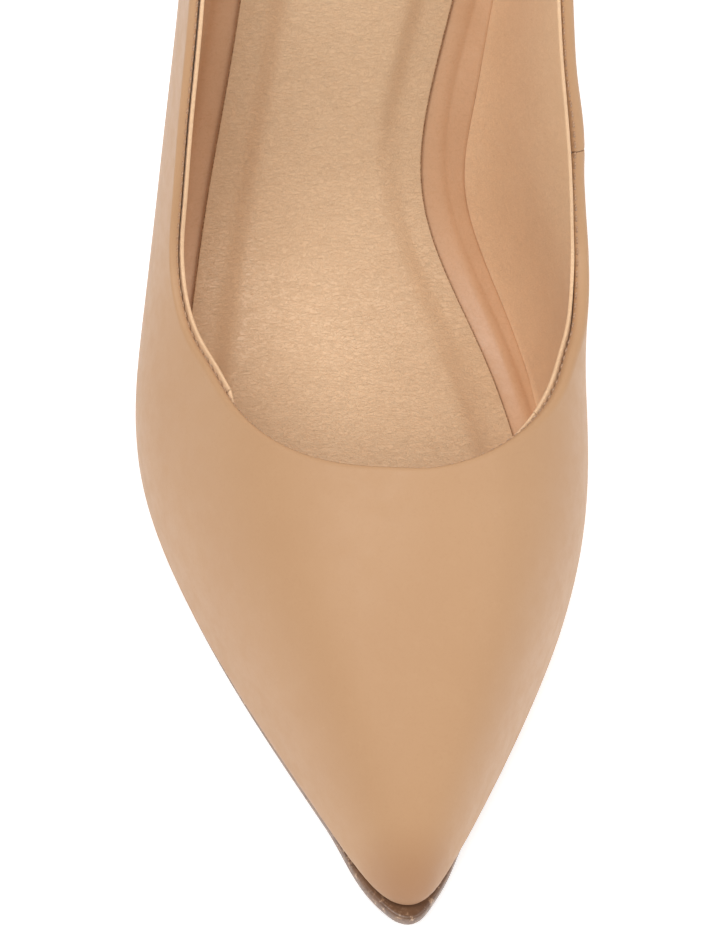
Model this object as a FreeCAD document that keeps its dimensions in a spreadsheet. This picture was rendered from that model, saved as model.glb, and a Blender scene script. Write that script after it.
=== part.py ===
import FreeCAD, Part
import os
import Sketcher
from math import ceil, cos, degrees, hypot, pi, radians, sin

# A women's right high heel pump in millimetres, +Z up, toe towards -Y, inner (medial) side towards +X.
# The origin is the centre of the top lift's ground face.
# The foot space is a "last": a profiled bottom, a feather edge (where wall and bottom meet) and a
# topline.  Every leather layer is an offset of the last's wall; every bottom layer is a plate at a
# level above (+) or below (-) the last's bottom.

Vector = FreeCAD.Vector
X_AXIS = Vector(1, 0, 0)

DIMENSIONS = {
    # side profile of the last's bottom, from the heel's back to the toe
    "last_back": 18, "seat_length": 48, "seat_angle": 18, "shank_bend": 38, "shank_angle": 54,
    "shank_straight": 30, "ball_bend": 64, "tread_length": 22, "toe_length": 66, "toe_spring": 7,
    # wall layers, measured outwards from the last
    "lining_thickness": 0.7, "stiffener_thickness": 0.6, "upper_thickness": 1.0, "layer_gap": 0.1,
    "feather_rounding": 0.6, "margin_width": 8, "margin_at_tip": 2.2,
    # bottom layers
    "board_thickness": 2.4, "shank_board_thickness": 1.2, "shank_board_end": 175, "cover_thickness": 0.65,
    "foam_thickness": 2.0, "foam_inset": 12, "foam_to": 212, "sock_thickness": 0.9, "sock_inset": 5,
    "plate_inset": 0.6, "ply_gap": 0.3,
    "outsole_thickness": 2.8, "outsole_edge": 1.1, "outsole_tip_edge": 2.35, "glue_gap": 0.05,
    "plate_blank_width": 120, "overcut": 1,
    # shank, filler and fasteners
    "steel_thickness": 1.4, "shank_width": 12, "shank_from": 14, "shank_to": 150,
    "rib_width": 4, "rib_height": 0.4, "rib_from": 52, "rib_to": 130,
    "rivet_radius": 1.5, "rivet_head_radius": 2.8, "rivet_head_height": 0.4,
    "filler_from": 154, "filler_to": 216, "filler_inset": 9, "filler_thickness": 1.8,
    "nail_radius": 0.9, "nail_head_radius": 1.9, "nail_head_height": 0.6, "nail_length": 12,
    "screw_radius": 2.0, "screw_head_radius": 4.0, "screw_head_height": 1.1, "screw_length": 20,
    "tip_length": 2, "tip_radius": 0.2, "hole_gap": 0.05,
    # heel
    "heel_seat": 47, "lift_width": 10.4, "lift_length": 10.8, "lift_height": 5.9, "lift_rounding": 0.5,
    "heel_base": 6, "cover_leather": 0.7, "heel_outset": 1.6, "tube_radius": 2.5, "tube_wall": 1.0,
    "tube_bottom": 6.5, "tube_top": 50, "tube_slot": 0.8,
    "pin_radius": 1.45, "pin_head_radius": 3.0, "pin_head_height": 1.0, "pin_bottom": 2.2, "pin_top": 22,
    "press_gap": 0.02,
    # stitching
    "thread_radius": 0.22, "thread_proud": 0.25,
}

# The last, one row per station round the foot from the heel's back along the inner side to the toe and
# back along the outer side.  The feather point is a distance along the bottom's profile (s) and a width
# (x); the topline point adds a height (n) normal to the bottom.  Flare is how far the wall leans out at
# the feather, and tuck how far it stands out below the topline.  The last column is the wall's drape.
SIDE = (0.35, 0.50, 0.40)     # rise of the lower handle, pull-in and drop of the upper handle
WAIST = (0.23, 0.50, 0.40)
JOINT = (0.45, 0.55, 0.38)
VAMP = (0.60, 0.63, 0.23)
TOE_SIDE = (0.56, 0.60, 0.26)
TIP_SIDE = (0.32, 0.52, 0.35)
TIP = (0.24, 0.50, 0.38)
STATIONS = (
    # feather s, x  topline s, x, n   flare tuck  drape
    (0, 0, -10, 0, 55, 5.0, 1.0, SIDE),
    (10, 18, -4, 13.5, 53, 4.5, 1.0, SIDE),
    (30, 25.5, 14, 21, 46, 4.5, 1.5, SIDE),
    (60, 23, 42, 25, 41, 5.0, 2.0, SIDE),
    (88, 17.5, 70, 28.5, 38, 8.5, 2.0, WAIST),
    (114, 16, 98, 32, 36, 11.0, 2.0, WAIST),
    (142, 26.5, 126, 32.5, 36, 6.0, 2.0, WAIST),
    (172, 32.5, 152, 31, 38, 2.0, 2.0, JOINT),
    (195, 29, 172, 26.5, 41, 1.5, 1.0, VAMP),
    (222, 17, 184, 17, 45, 1.0, 1.0, TOE_SIDE),
    (241, 6.7, 188, 10, 46, 0.5, 0.5, TIP_SIDE),
    (245.5, 2.3, 189, 5, 46, 0.5, 0.5, TIP),
    (241.5, -2.7, 188.5, 0, 45.5, 0.5, 0.5, TIP_SIDE),
    (224, -12.3, 186, -10, 43.5, 1.0, 1.0, TOE_SIDE),
    (198, -25.5, 176, -22, 39.5, 1.5, 1.0, VAMP),
    (166, -36.5, 155, -29.5, 35.5, 1.5, 2.0, JOINT),
    (138, -35.5, 126, -32.5, 34, 1.5, 2.0, SIDE),
    (112, -32, 98, -32, 35, 2.5, 2.0, SIDE),
    (85, -28, 70, -30, 37, 5.0, 2.0, SIDE),
    (58, -25.5, 42, -26, 41, 5.0, 2.0, SIDE),
    (30, -25.5, 14, -21, 46, 4.5, 1.5, SIDE),
    (10, -18, -4, -13.5, 53, 4.5, 1.0, SIDE),
)
COUNT = len(STATIONS)
BACK, TOE, BACK_AGAIN = 0, 11, COUNT          # stations of the heel's back and the toe tip
SIDE_SEAM = 4.8                               # station of the seam between vamp and quarter
LINING_JOINS = (8.3, 14.4 - COUNT)            # where the forepart lining meets the heel lining
SEAM_GAP = 0.004                              # in stations, about a tenth of a millimetre
PATCH_GAP = 0.05                              # in stations, between neighbouring stiffeners
COUNTER_END = 3.8                             # stations each side of the heel's back
PUFF_END = 2.0                                # stations each side of the toe tip
VAMP_BACKER_ENDS = (2.6, 3.3)                 # the same, on the inner and the outer side
COLUMNS_PER_STATION = 4
ROWS_UP_WALL = 13
ROWS_UP_TAPE = 4
ROUNDING_ROWS = 4                             # rows of points round the feather edge
MARGIN_ROWS = 3                               # rows of points across the lasted margin
TIP_REACH = (0.4, 2.2)                        # stations from the tip over which the margin widens
# heights up the wall, 0 at the feather and 1 at the topline
ROUNDING_FROM = 0.014
STIFFENER_FROM = 0.03
PUFF_TO = 0.5
VAMP_BACKER_FROM = 0.52
COUNTER_TO = 0.85
BACKER_TO = 0.92
TOPLINE_TAPE = (0.93, 0.978)
STITCH_HEIGHT = 0.972
SEAM_STITCH = (0.06, 0.955)
SEAM_STITCH_AT = SIDE_SEAM + 0.06             # station of the row of stitches beside the side seam
TOPLINE_STITCH_END = 0.05                     # stations left open at the heel's back
THREAD_SIDES = 8
# sock: rows along the foot, points across, where the first row lies and how far in from the sock's
# edge it climbs on to the foam pad
SOCK_ROWS = 60
SOCK_POINTS = 29
SOCK_END_SHARE = 0.012
FOAM_SHOULDER = (4.5, 8.5)
# outsole: stations from the tip over which its edge widens to a rim
SOLE_RIM_REACH = (0.0, 0.7)
# heel: shares of its height with a section, points round the D, its breast corner, and how fast each
# section turns from the lift's outline into the seat's
HEEL_LEVELS = (0.0, 0.22, 0.45, 0.68, 0.86, 1.0)
HEEL_POINTS = 13
BREAST_CORNER = 42                            # degrees from the breast face's middle
WIDTH_GROWTH = 2.5
BREAST_GROWTH = 3.2
BACK_GROWTH = 1.7
TILT_GROWTH = 1.5
TRIM_REACH = 400                              # half side of the sheet that a plate is trimmed from
NAILS = ((9, -7.2), (9, 7.2), (20, -13), (20, 13), (32, -13), (32, 13))       # (s, x)
SCREW_AT = 24
RIVETS_AT = (38, 142)


def make_sheet(doc):
    sheet = doc.addObject("Spreadsheet::Sheet", "dims")
    for row, (name, value) in enumerate(DIMENSIONS.items(), start=1):
        sheet.set("A%d" % row, name)
        sheet.set("B%d" % row, str(value))
        sheet.setAlias("B%d" % row, name)
    doc.recompute()
    return sheet


def smooth(value, low, high):
    """0 below low, 1 above high, and a smooth step between."""
    part = min(1.0, max(0.0, (value - low) / (high - low)))
    return part * part * (3 - 2 * part)


# ---------------------------------------------------------------- the last

class Bottom:
    """Side profile of the last's bottom: seat line, arc, shank line, arc, tread line, toe spring arc."""

    def __init__(self, d):
        self.parts = []          # (length, slope at the start, change of slope per millimetre)
        seat, shank, spring = radians(d.seat_angle), radians(d.shank_angle), radians(d.toe_spring)
        self.toe_radius = d.toe_length / spring
        self.line(d.seat_length, seat)
        self.arc(d.shank_bend, seat, shank)
        self.line(d.shank_straight, shank)
        self.arc(d.ball_bend, shank, 0.0)
        self.line(d.tread_length, 0.0)
        self.arc(self.toe_radius, 0.0, -spring)
        self.length = sum(part[0] for part in self.parts)
        self.level = tread_level(d)
        self.start = (d.last_back, 0.0)
        tread_height = self.at(self.length - d.toe_length)[1]
        self.start = (d.last_back, self.level - tread_height)

    def line(self, length, slope):
        self.parts.append((length, slope, 0.0))

    def arc(self, radius, slope, end_slope):
        turn = (1 if end_slope > slope else -1) / radius
        self.parts.append((abs(end_slope - slope) * radius, slope, turn))

    def at(self, s):
        """(y, z, slope) at the distance s from the heel's back."""
        y, z = self.start
        slope = self.parts[0][1]
        for index, (length, start_slope, turn) in enumerate(self.parts):
            inside = s if index == len(self.parts) - 1 or s < 0 else min(s, length)
            slope = start_slope + turn * inside
            if turn == 0:
                y -= inside * cos(slope)
                z -= inside * sin(slope)
            else:
                y -= (sin(slope) - sin(start_slope)) / turn
                z += (cos(slope) - cos(start_slope)) / turn
            s -= inside
            if s <= 0:
                break
        return y, z, slope

    def point(self, s, x, level):
        y, z, slope = self.at(s)
        return Vector(x, y - level * sin(slope), z + level * cos(slope))

    def up(self, s):
        slope = self.at(s)[2]
        return Vector(0, -sin(slope), cos(slope))

    def plane(self, s, x, level):
        """Placement whose XY plane lies along the bottom at s, x and level."""
        slope = degrees(self.at(s)[2])
        return FreeCAD.Placement(self.point(s, x, level), FreeCAD.Rotation(X_AXIS, slope))


def tread_level(d):
    """Height of the last's bottom above the ground at the tread."""
    return d.outsole_thickness + sole_top(d)


def sole_top(d):
    """Depth of the outsole's top face below the last's bottom."""
    return 3 * d.layer_gap + d.lining_thickness + d.upper_thickness


class ClosedSpline:
    """Smooth closed curve through rows of numbers; one unit of its parameter per row."""

    def __init__(self, rows):
        self.rows = rows
        self.count = len(rows)
        self.slopes = [[0.0] * len(rows[0]) for _ in rows]
        for _ in range(60):
            for i, slope in enumerate(self.slopes):
                after = (i + 1) % self.count
                for k in range(len(slope)):
                    chord = 3 * (rows[after][k] - rows[i - 1][k])
                    slope[k] = (chord - self.slopes[i - 1][k] - self.slopes[after][k]) / 4

    def at(self, station):
        station %= self.count
        i = int(station) % self.count
        t = station - int(station)
        j = (i + 1) % self.count
        weights = ((1 + 2 * t) * (1 - t) ** 2, t * (1 - t) ** 2, t * t * (3 - 2 * t), t * t * (t - 1))
        curves = zip(self.rows[i], self.slopes[i], self.rows[j], self.slopes[j])
        return [sum(w * value for w, value in zip(weights, values)) for values in curves]


class Last:
    """The foot space's wall: at each station a cubic Bezier from the feather up to the topline."""

    def __init__(self, bottom):
        self.bottom = bottom
        self.spline = ClosedSpline([row[:7] + row[7] for row in STATIONS])

    def feather(self, station, outset=0.0):
        """(s, x) of the feather edge, moved outwards along the bottom by outset."""
        s, x = self.spline.at(station)[:2]
        out_s, out_x = self.outwards(station)
        return s + out_s * outset, x + out_x * outset

    def outwards(self, station):
        """Unit normal of the feather edge within the bottom, as (s, x)."""
        step = 0.002
        before, after = self.spline.at(station - step), self.spline.at(station + step)
        along_s, along_x = after[0] - before[0], after[1] - before[1]
        length = hypot(along_s, along_x)
        return -along_x / length, along_s / length

    def handles(self, station):
        row = self.spline.at(station)
        s, x, top_s, top_x, top_level, flare, tuck, rise_share, pull_in, drop = row
        feather = self.bottom.point(s, x, 0)
        topline = self.bottom.point(top_s, top_x, top_level)
        slope = self.bottom.at(s)[2]
        up = self.bottom.up(s)
        out_s, out_x = self.outwards(station)
        out = Vector(out_x, -cos(slope) * out_s, -sin(slope) * out_s)
        rise = (topline - feather).dot(up)
        across = (topline - feather) - up * rise
        low = feather + up * (rise * rise_share) + out * flare
        high = topline - up * (rise * drop) - across * pull_in + out * tuck
        return feather, low, high, topline

    def at(self, station, height):
        a, b, c, e = self.handles(station)
        t, w = height, 1 - height
        return a * w ** 3 + b * (3 * w * w * t) + c * (3 * w * t * t) + e * t ** 3

    def normal(self, station, height):
        step = 0.001
        along = self.at(station + 20 * step, height) - self.at(station - 20 * step, height)
        upwards = self.at(station, height + step) - self.at(station, height - step)
        return upwards.cross(along).normalize()

    def wall(self, station, height, offset):
        return self.at(station, height) + self.normal(station, height) * offset

    def station_at(self, s, side, outset=0.0):
        """Station on one side (+1 inner, -1 outer) whose feather, moved by outset, is at s."""
        low, high = (BACK, TOE) if side > 0 else (COUNT, TOE)
        for _ in range(40):
            middle = (low + high) / 2
            if self.feather(middle, outset)[0] < s:
                low = middle
            else:
                high = middle
        return (low + high) / 2


# ---------------------------------------------------------------- solids from grids of points

def steps(start, end, count):
    return [start + (end - start) * i / (count - 1) for i in range(count)]


def columns(start, end):
    return steps(start, end, ceil(abs(end - start) * COLUMNS_PER_STATION) + 2)


def clamped_knots(pole_count):
    """Knots and multiplicities of a cubic spline that starts and ends on its first and last poles."""
    spans = pole_count - 3
    return [i / spans for i in range(spans + 1)], [4] + [1] * (spans - 1) + [4]


def surface(grid):
    """Smooth cubic surface whose poles are the grid's points."""
    knots, repeats = clamped_knots(len(grid))
    cross_knots, cross_repeats = clamped_knots(len(grid[0]))
    result = Part.BSplineSurface()
    result.buildFromPolesMultsKnots(grid, repeats, cross_repeats, knots, cross_knots, False, False, 3, 3)
    return result


def strip(first, second):
    """Ruled face between two rows of poles."""
    knots, repeats = clamped_knots(len(first))
    result = Part.BSplineSurface()
    result.buildFromPolesMultsKnots([first, second], [2, 2], repeats, [0, 1], knots, False, False, 1, 3)
    return result


def slab(outer, inner):
    """Closed solid between two grids of points of the same size."""
    pieces = [surface(outer), surface(inner)]
    for index in (0, -1):
        pieces.append(strip(outer[index], inner[index]))
        pieces.append(strip([row[index] for row in outer], [row[index] for row in inner]))
    shell = Part.makeShell([piece.toShape() for piece in pieces])
    shell.sewShape()
    solid = Part.makeSolid(shell)
    if solid.Volume < 0:
        solid.reverse()
    return solid


def add_feature(doc, name, shape):
    feature = doc.addObject("Part::Feature", name)
    feature.Label = name
    feature.Shape = shape
    feature.Placement = FreeCAD.Placement()
    return feature


# ---------------------------------------------------------------- upper and linings

def wrapped_path(last, d, station, offset, depth):
    """Points of one layer: down the wall, round the feather edge and inwards under the insole."""
    path = [last.wall(station, height, offset) for height in steps(1.0, ROUNDING_FROM, ROWS_UP_WALL)]
    up = last.bottom.up(last.feather(station)[0])
    normal = last.normal(station, ROUNDING_FROM)
    centre = last.at(station, ROUNDING_FROM) - normal * d.feather_rounding
    level = (centre - last.at(station, 0)).dot(up)
    for i in range(1, ROUNDING_ROWS + 1):
        share = i / ROUNDING_ROWS
        direction = (normal * (1 - share) - up * share).normalize()
        radius = (d.feather_rounding + offset) * (1 - share) + (level + depth) * share
        path.append(centre + direction * radius)
    slope_s, slope_x = last.outwards(station)
    tangent = up.cross(X_AXIS)
    inwards = tangent * slope_s - X_AXIS * slope_x
    from_tip = smooth(abs(station % COUNT - TOE), *TIP_REACH)
    margin = d.margin_at_tip + (d.margin_width - d.margin_at_tip) * from_tip
    edge = path[-1]
    for distance in steps(margin / MARGIN_ROWS, margin, MARGIN_ROWS):
        path.append(edge + inwards * distance)
    return path


def lasted_layer(doc, last, d, name, start, end, offset, thickness, depth):
    """Leather that covers the wall between two stations and is lasted under the insole."""
    stations = columns(start, end)
    outer = [wrapped_path(last, d, at, offset + thickness, depth + thickness) for at in stations]
    inner = [wrapped_path(last, d, at, offset, depth) for at in stations]
    return add_feature(doc, name, slab(outer, inner))


def wall_patch(doc, last, d, name, start, end, low, high, rows=ROWS_UP_WALL):
    """Stiffener or tape between the lining and the upper."""
    stations = columns(start, end)
    offset = d.lining_thickness + d.layer_gap
    heights = steps(low, high, rows)
    outer = [[last.wall(at, height, offset + d.stiffener_thickness) for height in heights]
             for at in stations]
    inner = [[last.wall(at, height, offset) for height in heights] for at in stations]
    return add_feature(doc, name, slab(outer, inner))


def make_uppers(doc, last, d):
    offset = d.lining_thickness + d.stiffener_thickness + 2 * d.layer_gap
    depth = d.lining_thickness + 2 * d.layer_gap
    vamp = (SIDE_SEAM + SEAM_GAP, BACK_AGAIN - SEAM_GAP)
    quarter = (BACK + SEAM_GAP, SIDE_SEAM - SEAM_GAP)
    yield lasted_layer(doc, last, d, "vamp", vamp[0], vamp[1], offset, d.upper_thickness, depth)
    yield lasted_layer(doc, last, d, "medial_quarter", quarter[0], quarter[1], offset,
                       d.upper_thickness, depth)


def make_linings(doc, last, d):
    inner_join, outer_join = LINING_JOINS
    yield lasted_layer(doc, last, d, "vamp_lining", inner_join + SEAM_GAP, outer_join + COUNT - SEAM_GAP,
                       0, d.lining_thickness, d.layer_gap)
    yield lasted_layer(doc, last, d, "heel_lining", outer_join + SEAM_GAP, inner_join - SEAM_GAP,
                       0, d.lining_thickness, d.layer_gap)


def make_stiffeners(doc, last, d):
    inner_end, outer_end = VAMP_BACKER_ENDS
    yield wall_patch(doc, last, d, "heel_counter", -COUNTER_END, COUNTER_END, STIFFENER_FROM, COUNTER_TO)
    yield wall_patch(doc, last, d, "toe_puff", TOE - PUFF_END, TOE + PUFF_END, STIFFENER_FROM, PUFF_TO)
    yield wall_patch(doc, last, d, "vamp_backer", TOE - inner_end, TOE + outer_end,
                     VAMP_BACKER_FROM, BACKER_TO)
    yield wall_patch(doc, last, d, "quarter_backer_medial", COUNTER_END + PATCH_GAP,
                     TOE - inner_end - PATCH_GAP, STIFFENER_FROM, BACKER_TO)
    yield wall_patch(doc, last, d, "quarter_backer_lateral", TOE + outer_end + PATCH_GAP,
                     COUNT - COUNTER_END - PATCH_GAP, STIFFENER_FROM, BACKER_TO)
    yield wall_patch(doc, last, d, "topline_tape", BACK + SEAM_GAP, BACK_AGAIN - SEAM_GAP,
                     *TOPLINE_TAPE, ROWS_UP_TAPE)


def thread(doc, d, name, points):
    """Eight-sided cord lying on the leather along a curve."""
    knots, repeats = clamped_knots(len(points))
    curve = Part.BSplineCurve()
    curve.buildFromPolesMultsKnots(points, repeats, knots, False, 3)
    spine = Part.Wire(curve.toShape())
    direction = (points[1] - points[0]).normalize()
    arm = direction.cross(X_AXIS).normalize() * d.thread_radius
    turns = [FreeCAD.Rotation(direction, 360 * i / THREAD_SIDES) for i in range(THREAD_SIDES)]
    corners = [points[0] + turn.multVec(arm) for turn in turns]
    section = Part.makePolygon(corners + corners[:1])
    return add_feature(doc, name, spine.makePipeShell([section], True, True))


def make_threads(doc, last, d):
    outside = d.lining_thickness + d.stiffener_thickness + 2 * d.layer_gap + d.upper_thickness
    offset = outside + d.thread_proud
    around = steps(TOPLINE_STITCH_END, COUNT - TOPLINE_STITCH_END, COUNT * COLUMNS_PER_STATION)
    yield thread(doc, d, "topline_thread", [last.wall(at, STITCH_HEIGHT, offset) for at in around])
    yield thread(doc, d, "side_seam_thread",
                 [last.wall(SEAM_STITCH_AT, height, offset) for height in steps(*SEAM_STITCH, ROWS_UP_WALL)])


# ---------------------------------------------------------------- bottom plates

def origin_plane(body, role):
    return next(item for item in body.Origin.OriginFeatures if item.Role == role)


def new_body(doc, name):
    body = doc.addObject("PartDesign::Body", name)
    body.Label = name
    body.Placement = FreeCAD.Placement()
    return body


def new_sketch(body, name, role="XY_Plane", offset=None):
    sketch = body.newObject("Sketcher::SketchObject", name)
    sketch.AttachmentSupport = [(origin_plane(body, role), "")]
    sketch.MapMode = "FlatFace"
    if offset is not None:
        sketch.AttachmentOffset = offset
    return sketch


def drive(sketch, constraint, expression):
    """Add a dimension to a sketch and bind it to the sheet."""
    index = sketch.addConstraint(constraint)
    sketch.setExpression("Constraints[%d]" % index, expression)
    return index


def spine_sketch(body, bottom, d):
    """The last's bottom in side view: three lines and three arcs, tangent to each other."""
    sketch = new_sketch(body, body.Name + "_spine", "YZ_Plane")
    s = 0.0
    for length, slope, turn in bottom.parts:
        y, z = bottom.at(s)[:2]
        end_y, end_z, end_slope = bottom.at(s + length)
        here, there = Vector(y, z, 0), Vector(end_y, end_z, 0)
        if turn == 0:
            sketch.addGeometry(Part.LineSegment(there, here))
        else:
            middle = bottom.at(s + length / 2)
            sketch.addGeometry(Part.Arc(here, Vector(middle[0], middle[1], 0), there))
        s += length
    seat, seat_bend, shank, ball_bend, tread, toe = range(6)
    joins = ((seat, 1, seat_bend), (shank, 2, seat_bend), (shank, 1, ball_bend), (tread, 2, ball_bend),
             (tread, 1, toe))
    for line, line_end, arc in joins:
        ends = [sketch.getPoint(arc, end) for end in (1, 2)]
        target = sketch.getPoint(line, line_end)
        arc_end = 1 if ends[0].distanceToPoint(target) < ends[1].distanceToPoint(target) else 2
        sketch.addConstraint(Sketcher.Constraint("Tangent", line, line_end, arc, arc_end))
    lengths = ((seat, "seat_length"), (shank, "shank_straight"), (tread, "tread_length"))
    for line, name in lengths:
        drive(sketch, Sketcher.Constraint("Distance", line, getattr(d, name)), "dims." + name)
    for line, name in ((seat, "seat_angle"), (shank, "shank_angle")):
        drive(sketch, Sketcher.Constraint("Angle", line, radians(getattr(d, name))), "dims." + name)
    sketch.addConstraint(Sketcher.Constraint("Horizontal", tread))
    for arc, name in ((seat_bend, "shank_bend"), (ball_bend, "ball_bend")):
        drive(sketch, Sketcher.Constraint("Radius", arc, getattr(d, name)), "dims." + name)
    drive(sketch, Sketcher.Constraint("Radius", toe, bottom.toe_radius),
          "dims.toe_length * 180 / (pi * dims.toe_spring)")
    drive(sketch, Sketcher.Constraint("DistanceX", -1, 1, seat, 2, d.last_back), "dims.last_back")
    return sketch


def rectangle(sketch, d, limits):
    """Rectangle between expressions (low x, high x, low y, high y)."""
    low_x, high_x, low_y, high_y = [number(d, text) for text in limits]
    corners = [Vector(low_x, low_y, 0), Vector(high_x, low_y, 0), Vector(high_x, high_y, 0),
               Vector(low_x, high_y, 0)]
    for i, corner in enumerate(corners):
        sketch.addGeometry(Part.LineSegment(corner, corners[(i + 1) % 4]))
    for i in range(4):
        sketch.addConstraint(Sketcher.Constraint("Coincident", i, 2, (i + 1) % 4, 1))
        sketch.addConstraint(Sketcher.Constraint("Vertical" if i % 2 else "Horizontal", i))
    places = (("DistanceX", 0, 1, low_x), ("DistanceX", 1, 1, high_x), ("DistanceY", 0, 1, low_y),
              ("DistanceY", 2, 1, high_y))
    for (kind, line, end, value), text in zip(places, limits):
        drive(sketch, Sketcher.Constraint(kind, -1, 1, line, end, value), text)


def number(d, expression):
    return float(d.evalExpression(expression))


def add_pipe(body, bottom, d, spine, name, width, low, high):
    """Strip that follows the bottom's profile, between two levels given as expressions."""
    slope = degrees(bottom.at(0)[2])
    y, z = bottom.start
    plane = FreeCAD.Placement(Vector(0, y, z), FreeCAD.Rotation(X_AXIS, 90 + slope))
    section = new_sketch(body, body.Name + name + "_section", "XY_Plane", plane)
    rectangle(section, d, ("-(%s) / 2" % width, "(%s) / 2" % width, low, high))
    pipe = body.newObject("PartDesign::AdditivePipe", body.Name + name)
    pipe.Profile = section
    pipe.Spine = (spine, ["Edge%d" % (i + 1) for i in range(len(bottom.parts))])
    return pipe


def trim(body, doc, name, curves):
    """Cut everything outside a closed outline seen from above."""
    doc.recompute()
    before = body.Shape.Volume
    sketch = new_sketch(body, body.Name + name + "_outline")
    corners = [Vector(TRIM_REACH * x, TRIM_REACH * y, 0) for x, y in ((-1, -1), (1, -1), (1, 1), (-1, 1))]
    for i, corner in enumerate(corners):
        sketch.addGeometry(Part.LineSegment(corner, corners[(i + 1) % 4]))
        sketch.addConstraint(Sketcher.Constraint("Block", i))
    for curve in curves:
        index = sketch.addGeometry(curve)
        sketch.addConstraint(Sketcher.Constraint("Block", index))
    pocket = body.newObject("PartDesign::Pocket", body.Name + name + "_trim")
    pocket.Profile = sketch
    pocket.Type = "ThroughAll"
    pocket.Reversed = True
    doc.recompute()
    if not 0 < body.Shape.Volume < before:
        raise RuntimeError(body.Label + ": the outline cut nothing")


def plan_point(last, station, outset, level):
    s, x = last.feather(station, outset)
    point = last.bottom.point(s, x, level)
    return Vector(point.x, point.y, 0)


def outline(last, outset, level, s_from=None, s_to=None):
    """Plan of the feather edge moved by outset(station), all round or cut off square at s_from and s_to."""
    def station(s, side, whole):
        return whole if s is None else last.station_at(s, side, outset(0))

    def run(start, end):
        points_per_station = 2
        stations = steps(start, end, round(abs(end - start) * points_per_station) + 2)
        return [plan_point(last, at, outset(at), level) for at in stations]

    if s_from is None and s_to is None:
        curve = Part.BSplineCurve()
        curve.interpolate(run(BACK, COUNT)[:-1], PeriodicFlag=True)
        return [curve]
    inner = (station(s_from, 1, BACK), station(s_to, 1, TOE))
    outer = (station(s_to, -1, TOE), station(s_from, -1, COUNT))
    if s_to is None:
        runs = [run(inner[0], outer[1])]
    elif s_from is None:
        runs = [run(outer[0] - COUNT, inner[1])]
    else:
        runs = [run(*inner), run(*outer)]
    curves = []
    for index, points in enumerate(runs):
        curve = Part.BSplineCurve()
        curve.interpolate(points)
        curves.append(curve)
        curves.append(Part.LineSegment(points[-1], runs[(index + 1) % len(runs)][0]))
    return curves


def slot_outline(bottom, s_from, s_to, half_width, level):
    """Plan of a straight strip along the centre line with rounded ends."""
    back = bottom.point(s_from, 0, level).y - half_width
    front = bottom.point(s_to, 0, level).y + half_width
    right, left = Vector(half_width, 0, 0), Vector(-half_width, 0, 0)
    behind, ahead = Vector(0, back, 0), Vector(0, front, 0)
    return [Part.LineSegment(behind + right, ahead + right),
            Part.Arc(ahead + right, ahead + Vector(0, -half_width, 0), ahead + left),
            Part.LineSegment(ahead + left, behind + left),
            Part.Arc(behind + left, behind + Vector(0, half_width, 0), behind + right)]


def cut_holes(body, doc, bottom, d, name, level, places, radius, depth):
    """Round holes square to the bottom, from a level downwards."""
    doc.recompute()
    before = len(body.Shape.Faces)
    base_s = places[0][0]
    sketch = new_sketch(body, body.Name + name, "XY_Plane", bottom.plane(base_s, 0, number(d, level)))
    size = number(d, radius)
    for s, x in places:
        centre = Vector(x, base_s - s, 0)
        index = sketch.addGeometry(Part.Circle(centre, Vector(0, 0, 1), size))
        sketch.addConstraint(Sketcher.Constraint("DistanceX", -1, 1, index, 3, centre.x))
        sketch.addConstraint(Sketcher.Constraint("DistanceY", -1, 1, index, 3, centre.y))
        drive(sketch, Sketcher.Constraint("Radius", index, size), radius)
    pocket = body.newObject("PartDesign::Pocket", body.Name + name + "_cut")
    pocket.Profile = sketch
    pocket.Type = "Length"
    pocket.setExpression("Length", depth)
    doc.recompute()
    if len(body.Shape.Faces) < before + len(places):
        raise RuntimeError(body.Label + ": the holes cut nothing")


def make_plate(doc, last, d, name, low, high, outset, s_from=None, s_to=None):
    body = new_body(doc, name)
    spine = spine_sketch(body, last.bottom, d)
    add_pipe(body, last.bottom, d, spine, "_sheet", "dims.plate_blank_width", low, high)
    middle = (number(d, low) + number(d, high)) / 2
    trim(body, doc, "", outline(last, outset, middle, s_from, s_to))
    return body


SOLE_TOP = "(3 * dims.layer_gap + dims.lining_thickness + dims.upper_thickness)"
COVER_TOP = "(dims.board_thickness + dims.glue_gap + dims.cover_thickness)"


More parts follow.
